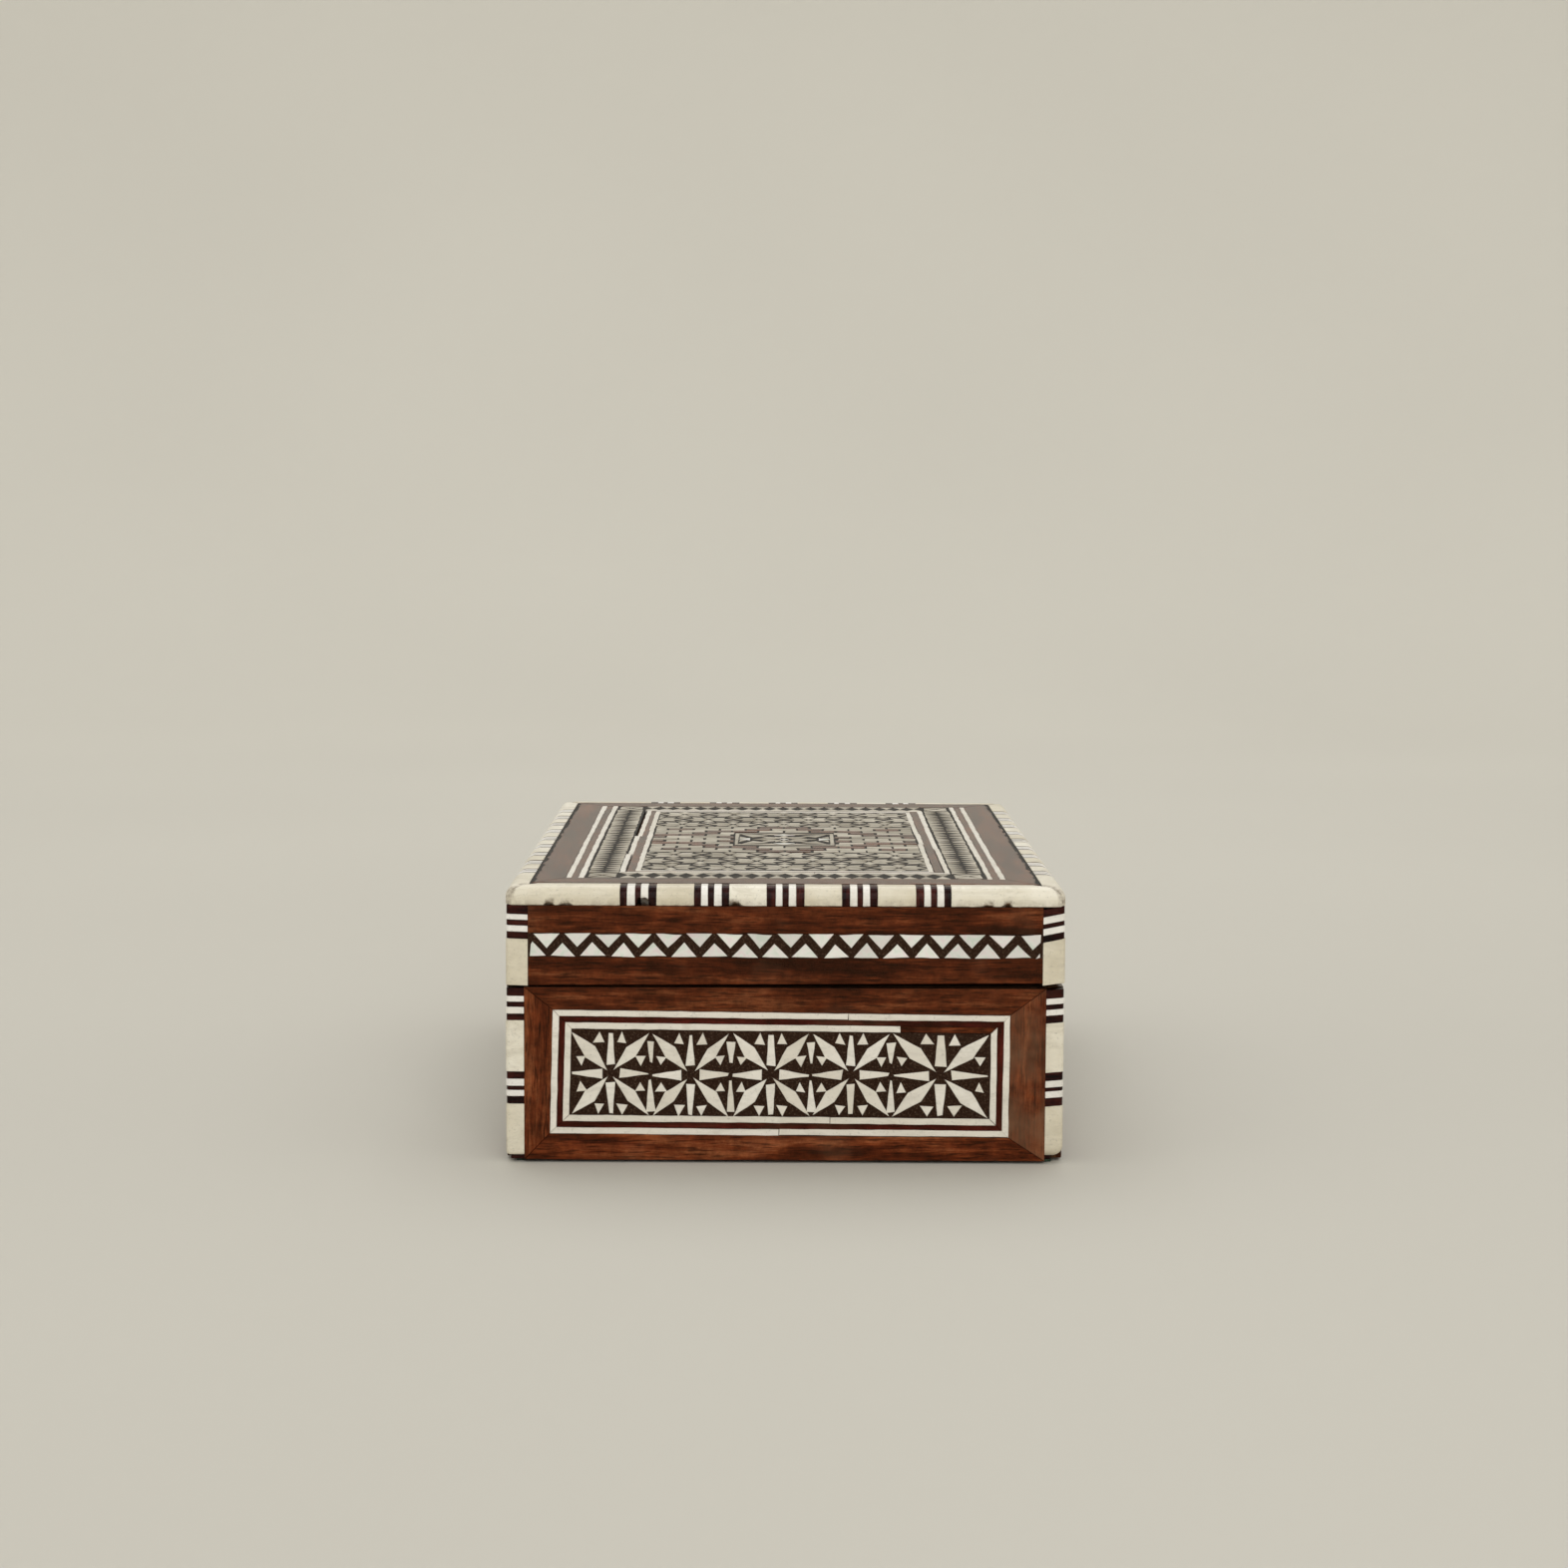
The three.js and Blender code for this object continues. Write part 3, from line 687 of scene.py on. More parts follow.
def lid_face(face):
    rng = random.Random(face.name + "lid")
    low_u, high_u, low_v, high_v = face.span(f"lid_face_{face.name}")
    strip = face.span(f"lid_zigzag_{face.name}")
    along = WOOD[grain_name(face.across)]
    notches = hinge_notches(face, lambda u: lid_bottom(face, u), 1)

    bands = Pile(f"lid_bands_{face.name}", face.name, tones=(0.0, 0.3))
    lower = [(low_u, lid_bottom(face, low_u)), *notches, (high_u, lid_bottom(face, high_u))]
    lower += [(high_u, strip[2]), (low_u, strip[2])]
    bands.tile(face, lower, along, edge=WOOD_EDGE)
    bands.tile(face, rectangle(low_u, high_u, strip[3], high_v), along, edge=WOOD_EDGE)
    bands.build("lid", "veneer_wood", [f"lid_face_{face.name}"])

    back = Pile(f"lid_zigzag_filler_{face.name}", face.name)
    back.tile(face, rectangle(low_u, high_u, strip[2], strip[3]), FILLER, high=-FILLER_SINK, edge=FILLER_EDGE)
    back.build("lid", "pearl_inlay")

    pearls = Pile(f"lid_pearls_{face.name}", face.name)
    for outline in zigzag_tiles(*strip, low_u + ZIGZAG_START):
        cut = hand_cut(turned_round(outline), rng, *TILE_CUT)
        pearls.tile(face, cut, PEARL, high=rng.uniform(TILE_LOW, TILE_PROUD), edge=0.09)
    pearls.build("lid", "pearl_inlay", [f"lid_zigzag_{face.name}"])


def lid_bottom(face, u):
    """Height of the lid's lower edge, which rises from the hinge side to the opening side."""
    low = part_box("lid_wall_hinge_side")[0].z / MM
    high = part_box("lid_wall_opening_side")[0].z / MM
    x = face.origin.x + face.across.x * u
    return low + (high - low) * (x + STRIP_X) / (2 * STRIP_X)


# ---- Strips of bone blocks and slips ----
# Edges of the slips in a group, from its middle: dark, white, dark, white, dark.
EDGE_SLIPS = (-3.25, -1.8, -0.55, 0.55, 1.8, 3.25)
CORNER_SLIPS = (-3.0, -1.6, -0.4, 0.4, 1.6, 3.0)
FOOT_STEPS = 6
DARK_SIZE = 0.955  # a dark part of a corner strip, as a share of the whole strip's width
BASE_GROUPS = (18.2, 3.15)  # middles of a base corner's groups of slips, down from its top
LID_GROUPS = (3.1,)
DARK_FOOT = 0.8  # height of the dark wood under a base corner: real wood facing, stained dark as painted shade under the box's foot
WORN_SLOPES = (0.08, 0.2)  # of the front corner on the opening side, which is the most worn
WORN_FOOT = 1.9


def blocks_between(low, high, groups, slips, rng):
    """Bone blocks and groups of slips along a strip, as (low, high, paint), with no paint for dark wood."""
    parts = []
    at = low
    for middle in groups:
        edges = [middle + edge + rng.uniform(-0.14, 0.14) for edge in slips]
        parts.append((at, edges[0], BONE))
        parts += [(a, b, SLIP_BONE if k % 2 else None) for k, (a, b) in enumerate(zip(edges, edges[1:]))]
        at = edges[-1]
    parts.append((at, high, BONE))
    return [part for part in parts if part[1] - part[0] > 0.3]


def corner_strip(body, node, corner, groups, dark_end, slope, foot):
    """A square strip up a corner, its outer edge rounded, built of blocks.

    Joints slope up outwards. The strip is worn round at its foot, with the radius given.
    """
    rng = random.Random(node)
    low, high = (Vector(c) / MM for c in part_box(node))
    sign_x, sign_y = CORNERS[corner]
    outer = (high.x if sign_x > 0 else low.x, high.y if sign_y > 0 else low.y)
    inner = (low.x if sign_x > 0 else high.x, low.y if sign_y > 0 else high.y)
    plan = [inner, (outer[0], inner[1])]
    steps = 4
    for k in range(steps + 1):
        angle = math.pi / 2 * k / steps
        plan.append((outer[0] - sign_x * CORNER_ROUND * (1 - math.cos(angle)),
                     outer[1] - sign_y * CORNER_ROUND * (1 - math.sin(angle))))
    plan.append((inner[0], outer[1]))
    plan = turned_round(plan)

    def level(size, edge, z, leaning):
        down = min(max(0.0, 1 - (z - low.z - dark_end) / foot), 1.0)
        size -= foot * (1 - math.sqrt(1 - down * down)) / (high.x - low.x)
        lean = slope if leaning else 0.0
        outline = inset([between(inner, point, size) for point in plan], edge)
        return [PLAN.point(u, v, z + lean * (abs(u - inner[0]) - high.x / 2 + low.x / 2)) for u, v in outline]

    parts = blocks_between(low.z + dark_end, high.z, [high.z - down for down in groups], CORNER_SLIPS, rng)
    # The dark block at the foot is the wood facing, made dark as painted shade under the box.
    if dark_end:
        parts.insert(0, (low.z, low.z + dark_end, None))
    pile = Pile(f"{node}_blocks", node)
    for start, end, bone in parts:
        size = rng.uniform(0.985, 1.0) if bone else DARK_SIZE
        leaning = (start > low.z + dark_end, end < high.z)
        between_ends = [start + SOFT_EDGE, end - SOFT_EDGE]
        if start == low.z + dark_end:
            between_ends[1:1] = [start + foot * k / FOOT_STEPS for k in range(1, FOOT_STEPS + 1)]
        rings = [level(size, SOFT_EDGE, start, leaning[0])]
        rings += [level(size, 0.0, z, leaning[z != between_ends[0]]) for z in between_ends]
        rings.append(level(size, SOFT_EDGE, end, leaning[1]))
        pile.rings(rings, bone or DARK_WOOD["x"], [0.9] + [0.1] * len(between_ends) + [0.9])
    pile.build(body, "bone_inlay", [node])


def corner_strips(corner):
    """The two strips of a corner, below and on the lid."""
    rng = random.Random(corner)
    slopes = [rng.uniform(-0.06, 0.06), rng.uniform(-0.06, 0.06)]
    foot = rng.uniform(0.3, 0.8)
    if corner == "front_opening":
        slopes = WORN_SLOPES
        foot = WORN_FOOT
    corner_strip("base", f"base_corner_strip_{corner}", corner, BASE_GROUPS, DARK_FOOT, slopes[0], foot)
    corner_strip("lid", f"lid_corner_strip_{corner}", corner, LID_GROUPS, 0.0, slopes[1], SOFT_EDGE)


# Where the lower edge of the front's bone strip is broken away: (u, half width, depth).
FRONT_CHIPS = [(-42.2, 0.9, 0.6), (-39.2, 1.4, 0.5), (-25.5, 1.3, 1.7), (-9.0, 1.3, 0.8), (36.0, 1.2, 0.4),
               (39.6, 0.9, 0.6)]
SHORT_GROUPS = 5  # groups of slips along a short edge of the lid
LONG_GROUPS = 9
DARK_SINK = 0.06  # dark slips lie this much under the bone
BROKEN_RIM = 1.6  # darkening along the lower edge: painted shade where it is broken away, and a lighter darkening where it isn't
WHOLE_RIM = 0.5
STRIP_WIDE = 4.0
CORNER_WEAR = ((0.0, 0.75), (0.35, 0.35), (0.9, 0.12), (1.6, 0.0))  # (along from the mitre, sunk)
BLOCK_WEAR = ((0.0, SOFT_EDGE), (SOFT_EDGE, 0.0))
STRIP_RADIUS = 2.0
STATION = 0.55  # length between sections where the edge is followed closely


def chip_depth(u, chips, rng):
    """How deep the lower edge is broken away at u: never quite sharp, and deeper at a chip."""
    depth = SOFT_EDGE + 0.10 * rng.random()
    for middle, half, deepest in chips:
        depth = max(depth, deepest * (1 - ((u - middle) / half) ** 4))
    return depth


def strip_section(low_v, high_v, chip, sunk):
    """A section of the rounded strip as (in from the face, height), from its broken lower edge round."""
    section = [(sunk + 1.5 * chip, low_v), (sunk, low_v + chip)]
    steps = 6
    for k in range(steps + 1):
        angle = math.pi / 2 * k / steps
        section.append((sunk + STRIP_RADIUS * (1 - math.cos(angle)),
                        high_v - sunk - STRIP_RADIUS * (1 - math.sin(angle))))
    return section + [(STRIP_WIDE, high_v - sunk), (STRIP_WIDE, low_v)]


def edge_strip(face):
    """The rounded strip along a top edge of the lid, mitred at both ends."""
    node = f"lid_edge_strip_{face.name}"
    rng = random.Random(node)
    low_u, high_u, low_v, high_v = face.span(node)
    count = SHORT_GROUPS if face.name.endswith("_end") else LONG_GROUPS
    groups = [BLOCK_PITCH * (k - (count - 1) / 2) for k in range(count)]
    chips = FRONT_CHIPS
    if face.name != "front_end":
        chips = [
            (rng.uniform(low_u + 6, high_u - 6), rng.uniform(0.7, 1.5), rng.uniform(0.3, 0.6))
            for _ in range(count)
        ]
    pile = Pile(f"{node}_blocks", node)
    for start, end, bone in blocks_between(low_u, high_u, groups, EDGE_SLIPS, rng):
        rings, rims = [], []

        def lay(u, sunk, mitre=0):
            """Adds a section at u, or across the mitre there."""
            chip = chip_depth(u, chips, rng)
            section = strip_section(low_v, high_v, chip, sunk if bone else max(sunk, DARK_SINK))
            rings.append([face.point(u - mitre * w, v, -w) for w, v in section])
            # Where the edge is broken away, its dark rim is painted shade in the chip.
            broken = BROKEN_RIM if chip > 0.3 else WHOLE_RIM
            rims.append([broken, broken] + [min(sunk / SOFT_EDGE, 0.9)] * (len(section) - 2))

        ends = [CORNER_WEAR if at in (low_u, high_u) else BLOCK_WEAR for at in (start, end)]
        mitres = (-1 if start == low_u else 0, 1 if end == high_u else 0)
        for along, sunk in ends[0]:
            lay(start + along, sunk, mitres[0])
        first = start + ends[0][-1][0] + abs(mitres[0]) * STRIP_WIDE
        last = end - ends[1][-1][0] - abs(mitres[1]) * STRIP_WIDE
        stations = max(1, round((last - first) / STATION))
        for k in range(1, stations):
            lay(first + (last - first) * k / stations, 0.0)
        for along, sunk in reversed(ends[1]):
            lay(end - along, sunk, mitres[1])
        pile.rings(rings, bone or DARK_WOOD[grain_name(face.up)], rims)
    pile.build("lid", "bone_inlay", [node])


# ---- Lid top ----
TOP_JOINT = 0.35  # least width of the dark joint round the top's plain wood, whose dark filler is also painted shade along the veneer's edge
TOP_JOINT_SINK = 0.12
TOP_RAGGED = 0.7  # how much wider the joint gets where the wood broke away
INNER_WOOD_LINE = 1.6
BAND_PITCH = 3.05
BAND_MARGIN = 0.45
BAND_FOOT = 0.94  # half the foot of a band triangle, as a share of half its place
BAND_REACH = 0.48  # and its height, as a share of the band's width
WEDGE_GAP = 0.25
WIDER_END = 2.0  # the plain wood is this much wider at the two ends
CROOKED_LINE = {"cuts": [-26.5, 4.3], "offs": [-0.35, 0.0, 0.5]}  # the inner ring's line on the hinge side
MEDALLION = 10.0  # half of the square in the middle
MIDDLE_HALF = 22.4  # half the length of the brick zone
BRICK_ROW = 3.4
BRICK_LENGTH = 5.4
BRICK_GAP = 0.22
STAR_COLUMNS = 5
STAR_ROW = 9.6
# One of a rosette's eight petals, in a circle of radius 1.
ROSETTE_KITE = ((0.10, 0.0), (0.62, 0.235), (1.0, 0.0), (0.62, -0.235))


def lid_top():
    rng = random.Random("top")
    panel, line_out, band_out, line_in = (
        rectangle(*TOP.span(f"lid_top_{name}")) for name in ("frame", "stringing", "mosaic_band", "field")
    )
    low_v = line_out[0][1] + WIDER_END
    high_v = line_out[2][1] - WIDER_END
    line_out = rectangle(line_out[0][0], line_out[2][0], low_v, high_v)

    # A ring of dark filler round the top's plain wood: a real joint, and painted shade along the veneer's
    # edge.
    joint = Pile("lid_top_joint", "joint")
    for member in mitred_ring(panel, inset(panel, 1.5)):
        joint.tile(TOP, member, TOP_FILLER, high=-TOP_JOINT_SINK, edge=FILLER_EDGE)
    joint.build("lid", "veneer_wood")

    frame_wood = Pile("lid_top_frame_wood", "top", tones=(0.0, 0.3))
    edge = inset(panel, TOP_JOINT)
    for index, (a, b, c, d) in enumerate(mitred_ring(edge, line_out)):
        member = ragged(a, b, rng, TOP_RAGGED) + [b, c, d]
        frame_wood.tile(TOP, member, WOOD["xy"[index % 2]], edge=WOOD_EDGE)
    frame_wood.build("lid", "veneer_wood", ["lid_top_frame"])

    white = Pile("lid_top_white_lines", "top")
    strips = Pile("lid_top_wood_lines", "top", tones=(0.0, 0.3))
    wood_outer = inset(line_out, TOP_LINE)
    white_inner = inset(band_out, -TOP_LINE)
    wood_inner = inset(line_in, TOP_LINE)
    field_line = inset(wood_inner, INNER_WOOD_LINE)
    field = inset(field_line, TOP_LINE)

    def runs(outer, inner):
        """The long sides between two outlines, cut off square at the plain wood."""
        return [
            rectangle(outer[0][0], inner[0][0], low_v, high_v),
            rectangle(inner[1][0], outer[1][0], low_v, high_v),
        ]

    lines = []
    for member in runs(line_out, wood_outer) + runs(white_inner, band_out):
        lines += laid_pieces(member, rng, 50.0, 0.05)
    for index, member in enumerate(mitred_ring(line_in, wood_inner) + mitred_ring(field_line, field)):
        lines += laid_pieces(member, rng, 40.0, 0.15, **(CROOKED_LINE if index == 3 else {}))
    for piece in lines:
        white.tile(TOP, hand_cut(piece, rng, *TOP_LINE_CUT), STAR_BONE, high=TILE_PROUD)
    for member in runs(wood_outer, white_inner):
        strips.tile(TOP, member, WOOD["y"], high=-LINE_SINK, edge=LINE_EDGE)
    for index, member in enumerate(mitred_ring(wood_inner, field_line)):
        strips.tile(TOP, member, WOOD["xy"[index % 2]], high=-LINE_SINK, edge=LINE_EDGE)
    band_out = rectangle(band_out[0][0], band_out[1][0], low_v, high_v)
    white.build("lid", "bone_inlay", ["lid_top_stringing"])
    strips.build("lid", "veneer_wood")

    filler = Pile("lid_top_filler", "top")
    for member in mitred_ring(band_out, line_in):
        filler.tile(TOP, member, TOP_FILLER, high=-FILLER_SINK, edge=FILLER_EDGE)
    filler.tile(TOP, field, TOP_FILLER, high=-FILLER_SINK, edge=FILLER_EDGE)
    filler.build("lid", "star_mosaic", ["lid_top_mosaic_band"])

    half_u, half_v = field[2]
    bright, rays = medallion_tiles()
    bone_bricks, wood_bricks = brick_tiles(half_u)
    dull = band_tiles(band_out, line_in) + rays + bone_bricks + lattice_tiles(half_u, half_v)
    for name, outlines, material, slot, nodes in (
        ("lid_top_tiles", dull, TOP_BONE, "star_mosaic", ["lid_top_field"]),
        ("lid_top_pearls", bright, PEARL, "pearl_inlay", []),
        ("lid_top_wood_bricks", wood_bricks, WOOD["x"], "veneer_wood", []),
    ):
        pile = Pile(name, "top")
        for outline in outlines:
            cut = hand_cut(turned_round(outline), rng, *TOP_TILE_CUT)
            pile.tile(TOP, cut, material, high=rng.uniform(TILE_LOW, TILE_PROUD), edge=0.09, rise=0.07)
        pile.build("lid", slot, nodes)


def band_tiles(outer, inner):
    """Two rows of triangles round the mosaic band, tip to tip, and four wedges at each corner."""
    tiles = []
    for quarters in range(4):
        run = inner[2][quarters % 2]
        far = outer[2][1 - quarters % 2] - BAND_MARGIN
        near = inner[2][1 - quarters % 2] + BAND_MARGIN
        count = round(2 * run / BAND_PITCH)
        half = run / count
        for k in range(count):
            u = half * (2 * k + 1) - run
            for foot, other in ((far, near), (near, far)):
                tip = (u, foot + (other - foot) * BAND_REACH)
                wedge = [(u - BAND_FOOT * half, foot), (u + BAND_FOOT * half, foot), tip]
                tiles.append(quarter_turned(wedge, quarters))
    for sign_u in (-1, 1):
        for sign_v in (-1, 1):
            corner = (outer[2], (inner[2][0], outer[2][1]), inner[2], (outer[2][0], inner[2][1]))
            corner = [(sign_u * u, sign_v * v) for u, v in corner]
            corner = inset(turned_round(corner), BAND_MARGIN)
            centre = between(corner[0], corner[2], 0.5)
            tiles += [inset([centre, a, b], WEDGE_GAP) for a, b in zip(corner, corner[1:] + corner[:1])]
    return tiles


def turned(points, angle):
    cos, sin = math.cos(angle), math.sin(angle)
    return [(u * cos - v * sin, u * sin + v * cos) for u, v in points]


def medallion_tiles():
    """(bright, dull) tiles of a sixteen-rayed rosette in an eight-pointed star, in a square."""
    bright, dull = [], []
    for k in range(16):
        reach, wide = (5.2, 0.6) if k % 2 else (6.6, 0.95)
        ray = [(1.4, 0.0), (reach * 0.6, wide), (reach, 0.0), (reach * 0.6, -wide)]
        dull.append(turned(ray, math.tau * k / 16))
    for k in range(8):
        reach = 9.2 if k % 2 == 0 else 12.2
        point = turned([(6.9, -2.2), (reach, 0.0), (6.9, 2.2)], math.tau * k / 8)
        (dull if k % 2 else bright).append(point)
        for side in (() if k % 2 else (1, -1)):
            filling = [(7.6, side * 2.4), (9.0, side * 1.2), (9.0, side * 4.6)]
            dull.append(turned(filling, math.tau * k / 8))
    bright.append([(1.1, 0.0), (0.0, 1.1), (-1.1, 0.0), (0.0, -1.1)])
    square = rectangle(-MEDALLION, MEDALLION, -MEDALLION, MEDALLION)
    return bright, dull + mitred_ring(square, inset(square, 0.8))


def brick_tiles(half_u):
    """(bone, wood) bricks round the medallion. The wood ones make a stepped diamond."""
    bone, wood = [], []
    rows = round(2 * MIDDLE_HALF / BRICK_ROW)
    row_height = 2 * MIDDLE_HALF / rows
    columns = round(2 * half_u / BRICK_LENGTH)
    column_width = 2 * half_u / columns
    for row in range(rows):
        low_v = -MIDDLE_HALF + row_height * row + BRICK_GAP
        high_v = low_v + row_height - 2 * BRICK_GAP
        beside = max(low_v, -high_v) < MEDALLION
        half_brick = 0.5 * (row % 2)
        for column in range(-1, columns):
            low_u = max(-half_u + column_width * (column + half_brick), -half_u) + BRICK_GAP
            high_u = min(-half_u + column_width * (column + 1 + half_brick), half_u) - BRICK_GAP
            step = abs(row - (rows - 1) / 2) + abs(column + half_brick - (columns - 1) / 2)
            spans = [(low_u, high_u)]
            if beside:
                left_end = min(high_u, -MEDALLION - BRICK_GAP)
                spans = [(low_u, left_end), (max(low_u, MEDALLION + BRICK_GAP), high_u)]
            for a, b in spans:
                if b - a > 1:
                    (wood if round(step) % 3 == 0 else bone).append(rectangle(a, b, low_v, high_v))
    return bone, wood


def lattice_tiles(half_u, half_v):
    """Staggered rows of rosettes from both ends of the field in to the bricks, with triangles between."""
    tiles = []
    cell = 2 * half_u / STAR_COLUMNS
    radius = cell / 2 - 0.15
    rows = math.ceil((half_v - MIDDLE_HALF) / STAR_ROW)
    for row in range(rows):
        centre_v = half_v - radius - 0.2 - STAR_ROW * row
        for column in range(-1, STAR_COLUMNS + 1):
            centre_u = -half_u + cell * (column + 0.5 + row % 2 / 2)
            for k in range(8):
                kite = turned(ROSETTE_KITE, math.tau * k / 8)
                tiles.append([(centre_u + u * radius, centre_v + v * radius) for u, v in kite])
            for up in (1, -1):
                wedge = [(-1.5, 3.7), (1.5, 3.7), (0.0, 1.5)]
                tiles.append([(centre_u + cell / 2 + u, centre_v + up * v) for u, v in wedge])
    tiles = [clipped(turned_round(tile), -half_u, half_u) for tile in tiles]
    tiles = [clipped(tile, MIDDLE_HALF + BRICK_GAP, half_v, axis=1) for tile in tiles if tile]
    tiles = [tile for tile in tiles if tile and min(extent(tile)) > 0.6]
    return tiles + [quarter_turned(tile, 2) for tile in tiles]


# ---- Linings, felt and the carcass ----
def cloth_piece(name, points, faces, body, node):
    """A piece of velvet, from points in millimetres."""
    mesh = new_mesh(name, [tuple(Vector(p) * MM) for p in points], faces, [VELVET], smooth=True)
    return new_piece(name, mesh, body, "velvet", [node])


def soft_pad(name, node, body, up):
    """A thin velvet-covered pad: its edges turn over and its middle swells on the side that shows."""
    low, high = (Vector(c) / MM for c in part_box(node))
    count_u, count_v = 60, 90
    points, faces = [], []
    for layer in (0, 1):
        for j in range(count_v + 1):
            for i in range(count_u + 1):
                x = low.x + (high.x - low.x) * i / count_u
                y = low.y + (high.y - low.y) * j / count_v
                z = high.z if layer else low.z
                if (layer == 1) == (up > 0):
                    from_edge = min(x - low.x, high.x - x, y - low.y, high.y - y)
                    turned_over = PAD_EDGE * max(0.0, 1 - from_edge / PAD_TURN) ** 2
                    dip = PAD_CROWN * (1 - min(from_edge / 20, 1) + 0.5 * noise.noise(Vector((x, y, 0)) / 14))
                    z -= up * (turned_over + max(dip, 0.0))
                points.append((x, y, z))
    row = count_u + 1
    top = row * (count_v + 1)
    for j in range(count_v):
        for i in range(count_u):
            a = j * row + i
            faces.append((a, a + row, a + row + 1, a + 1))
            faces.append((top + a, top + a + 1, top + a + row + 1, top + a + row))
    border = list(range(row))
    border += [j * row + count_u for j in range(1, count_v + 1)]
    border += [count_v * row + i for i in range(count_u - 1, -1, -1)]
    border += [j * row for j in range(count_v - 1, 0, -1)]
    for a, b in zip(border, border[1:] + border[:1]):
        faces.append((a, b, top + b, top + a))
    pad = cloth_piece(name, points, faces, body, node)


def wall_lining():
    """Velvet glued round the walls, rolled over at its top and a little puckered."""
    node = "base_lining_walls"
    low, high = (Vector(c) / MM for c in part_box(node))
    floor_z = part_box("base_lining_floor")[1].z / MM
    thick = high.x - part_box("base_lining_floor")[1].x / MM - 0.15
    rows = 14
    section = [(0.05, low.z), (0.05, (low.z + high.z) / 2), (0.05, high.z - 0.4), (0.3, high.z)]
    section += [(thick * 0.75, high.z - 0.05)]
    section += [(thick, high.z - 0.6 - (high.z - 0.6 - low.z) * k / rows) for k in range(rows + 1)]
    points, faces = [], []
    for offset, z in section:
        for x, y in rounded_rectangle(high.x - offset, high.y - offset, 1.2 - offset * 0.4):
            pucker = 0.16 * noise.noise(Vector((x / 7, y / 7, z / 16)))
            pucker = pucker if offset == thick and z > floor_z else 0.0
            share = 1 - pucker / high.x
            points.append((x * share, y * share, z))
    around = len(points) // len(section)
    for level in range(len(section)):
        after = (level + 1) % len(section)
        faces += between_rings(level * around, after * around, around)
    lining = cloth_piece("wall_lining", points, faces, "base", node)


def underside_felt():
    """The felt sheet under the box, its edges cut by hand."""
    low, high = (Vector(c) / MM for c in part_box("base_felt"))
    rng = random.Random("felt")
    sheet = Pile("underside_felt", "felt")
    outline = hand_cut(rectangle(low.x + 0.3, high.x - 0.3, low.y + 0.3, high.y - 0.3), rng, *FELT_CUT)
    sheet.tile(PLAN, outline, FELT, high=high.z, low=low.z, edge=0.12, both=True)
    felt = sheet.build("base", "felt", ["base_felt"])


def dress_cad():
    """Materials for the CAD nodes that stay in view."""
    for name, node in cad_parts.items():
        if node.hide_render:
            continue
        if name.startswith("hinge_"):
            material = BRASS
        elif name.endswith("_end"):
            material = CARCASS["x"]
        else:
            material = CARCASS["y"]
        node.data.materials.clear()
        node.data.materials.append(material)
        if material is BRASS:
            rounding = node.modifiers.new("worn_edges", "BEVEL")
            rounding.width = 0.12 * MM
            rounding.segments = 2
            rounding.limit_method = "ANGLE"
            rounding.angle_limit = math.radians(50)


# ---- Floor, light and camera, in metres ----
FLOOR_FLAT = 0.9  # radius of the level part of the floor
FLOOR_CURVE = 0.7  # radius of the curve round it
FLOOR_WALL = 0.5  # height of the wall above the curve
CURVE_STEPS = 16
FLOOR_SIDES = 96


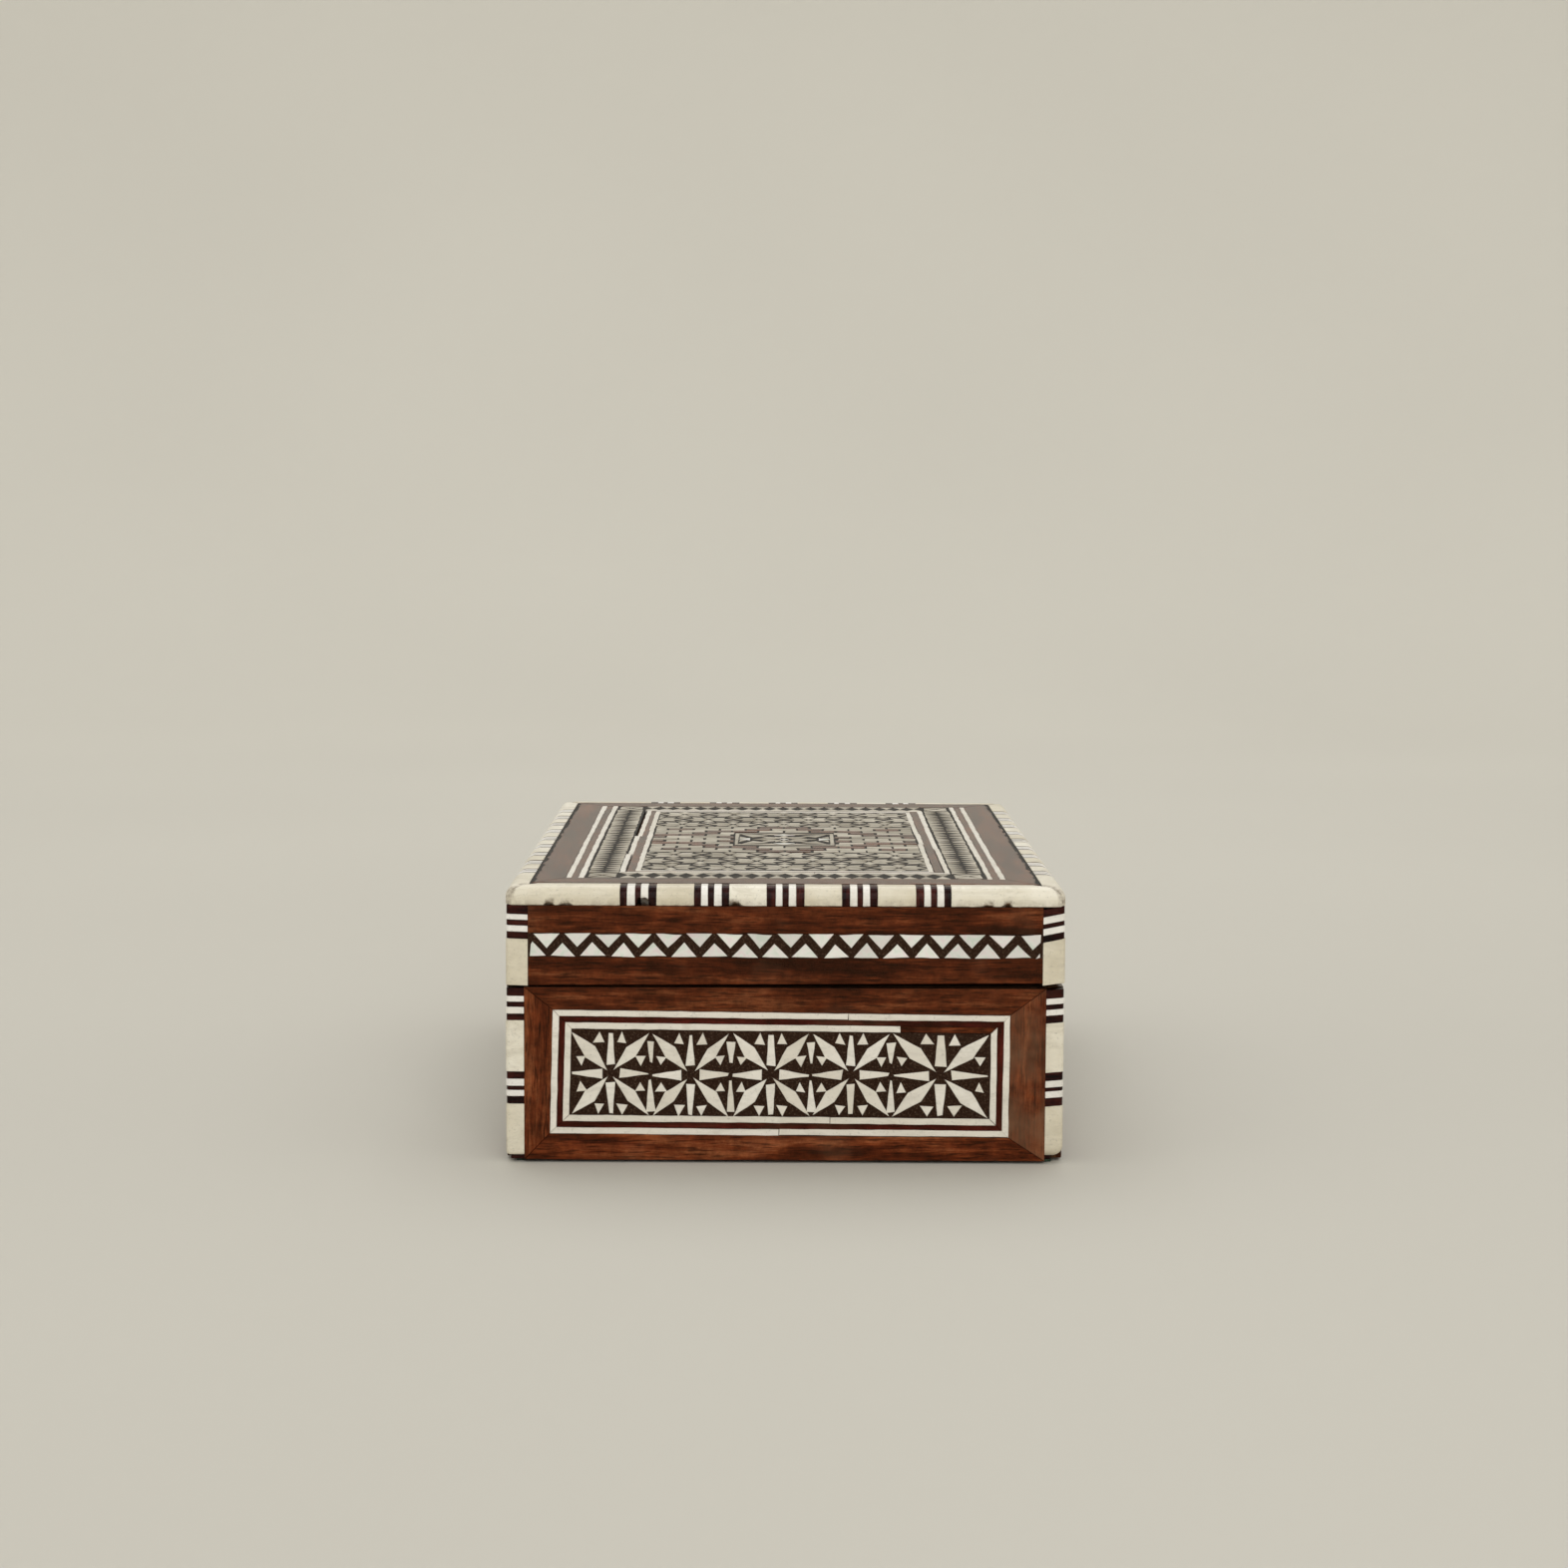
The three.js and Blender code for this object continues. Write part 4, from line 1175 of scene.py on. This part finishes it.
def studio():
    """A pale floor that curves up all round, under soft light from above and in front."""
    profile = [(FLOOR_FLAT, 0.0)]
    for k in range(1, CURVE_STEPS + 1):
        angle = math.pi / 2 * k / CURVE_STEPS
        profile.append((FLOOR_FLAT + FLOOR_CURVE * math.sin(angle), FLOOR_CURVE * (1 - math.cos(angle))))
    profile.append((FLOOR_FLAT + FLOOR_CURVE, FLOOR_CURVE + FLOOR_WALL))
    points = [(0.0, 0.0, 0.0)]
    for distance, height in profile:
        for k in range(FLOOR_SIDES):
            angle = math.tau * k / FLOOR_SIDES
            points.append((distance * math.cos(angle), distance * math.sin(angle), height))
    faces = [(0, 1 + k, 1 + (k + 1) % FLOOR_SIDES) for k in range(FLOOR_SIDES)]
    for level in range(len(profile) - 1):
        for k in range(FLOOR_SIDES):
            a = 1 + level * FLOOR_SIDES + k
            b = 1 + level * FLOOR_SIDES + (k + 1) % FLOOR_SIDES
            faces.append((a, a + FLOOR_SIDES, b + FLOOR_SIDES, b))
    paint = Paint("pale_floor", Roughness=0.95)
    cloud = paint.noise(3, 1, 0.5)
    paint.set("Base Color", paint.ramp(cloud, [(0.3, (0.575, 0.555, 0.495)), (0.7, (0.595, 0.575, 0.513))]))
    floor = new_object("floor", new_mesh("floor", points, faces, [paint.material], smooth=True))

    world = bpy.data.worlds.new("studio")
    world.use_nodes = True
    sky = world.node_tree.nodes["Background"].inputs
    sky["Color"].default_value = (1.0, 0.985, 0.96, 1)
    sky["Strength"].default_value = 0.80
    bpy.context.scene.world = world
    add_light("overhead", (0.0, 0.9, 1.4), (0.0, 0.6, 0.0), 1.4, 8.0)
    add_light("front", (0.1, -1.35, 0.55), (0.0, 0.0, 0.05), 0.8, 7.0)


def add_light(name, place, target, size, power):
    data = bpy.data.lights.new(name, "AREA")
    data.shape = "SQUARE"
    data.size = size
    data.energy = power
    lamp = new_object(name, data)
    lamp.location = place
    lamp.rotation_euler = (Vector(target) - Vector(place)).to_track_quat("-Z", "Y").to_euler()


CAMERA_PLACE = Vector((-2.6, -626.3, 121.5)) * MM
CAMERA_YAW = math.radians(0.228)
CAMERA_PITCH = math.radians(5.50)
CAMERA_ROLL = math.radians(0.276)
LENS = 71.65


def camera():
    ahead = Vector((
        math.sin(CAMERA_YAW) * math.cos(CAMERA_PITCH),
        math.cos(CAMERA_YAW) * math.cos(CAMERA_PITCH),
        -math.sin(CAMERA_PITCH),
    ))
    level = Vector((math.cos(CAMERA_YAW), -math.sin(CAMERA_YAW), 0))
    above = level.cross(ahead)
    right = level * math.cos(CAMERA_ROLL) + above * math.sin(CAMERA_ROLL)
    up = above * math.cos(CAMERA_ROLL) - level * math.sin(CAMERA_ROLL)
    data = bpy.data.cameras.new("camera")
    data.lens = LENS
    data.clip_start = 0.01
    data.clip_end = 20
    eye = new_object("camera", data)
    eye.matrix_world = Matrix.Translation(CAMERA_PLACE) @ Matrix((right, up, -ahead)).transposed().to_4x4()
    bpy.context.scene.camera = eye
    bpy.context.scene.view_settings.view_transform = "Standard"


for side in SIDES:
    star_panel(side)
    lid_face(side)
    edge_strip(side)
for name in CORNERS:
    corner_strips(name)
lid_top()
soft_pad("floor_pad", "base_lining_floor", "base", 1)
soft_pad("lid_pad", "lid_lining", "lid", -1)
wall_lining()
underside_felt()
dress_cad()
studio()
camera()
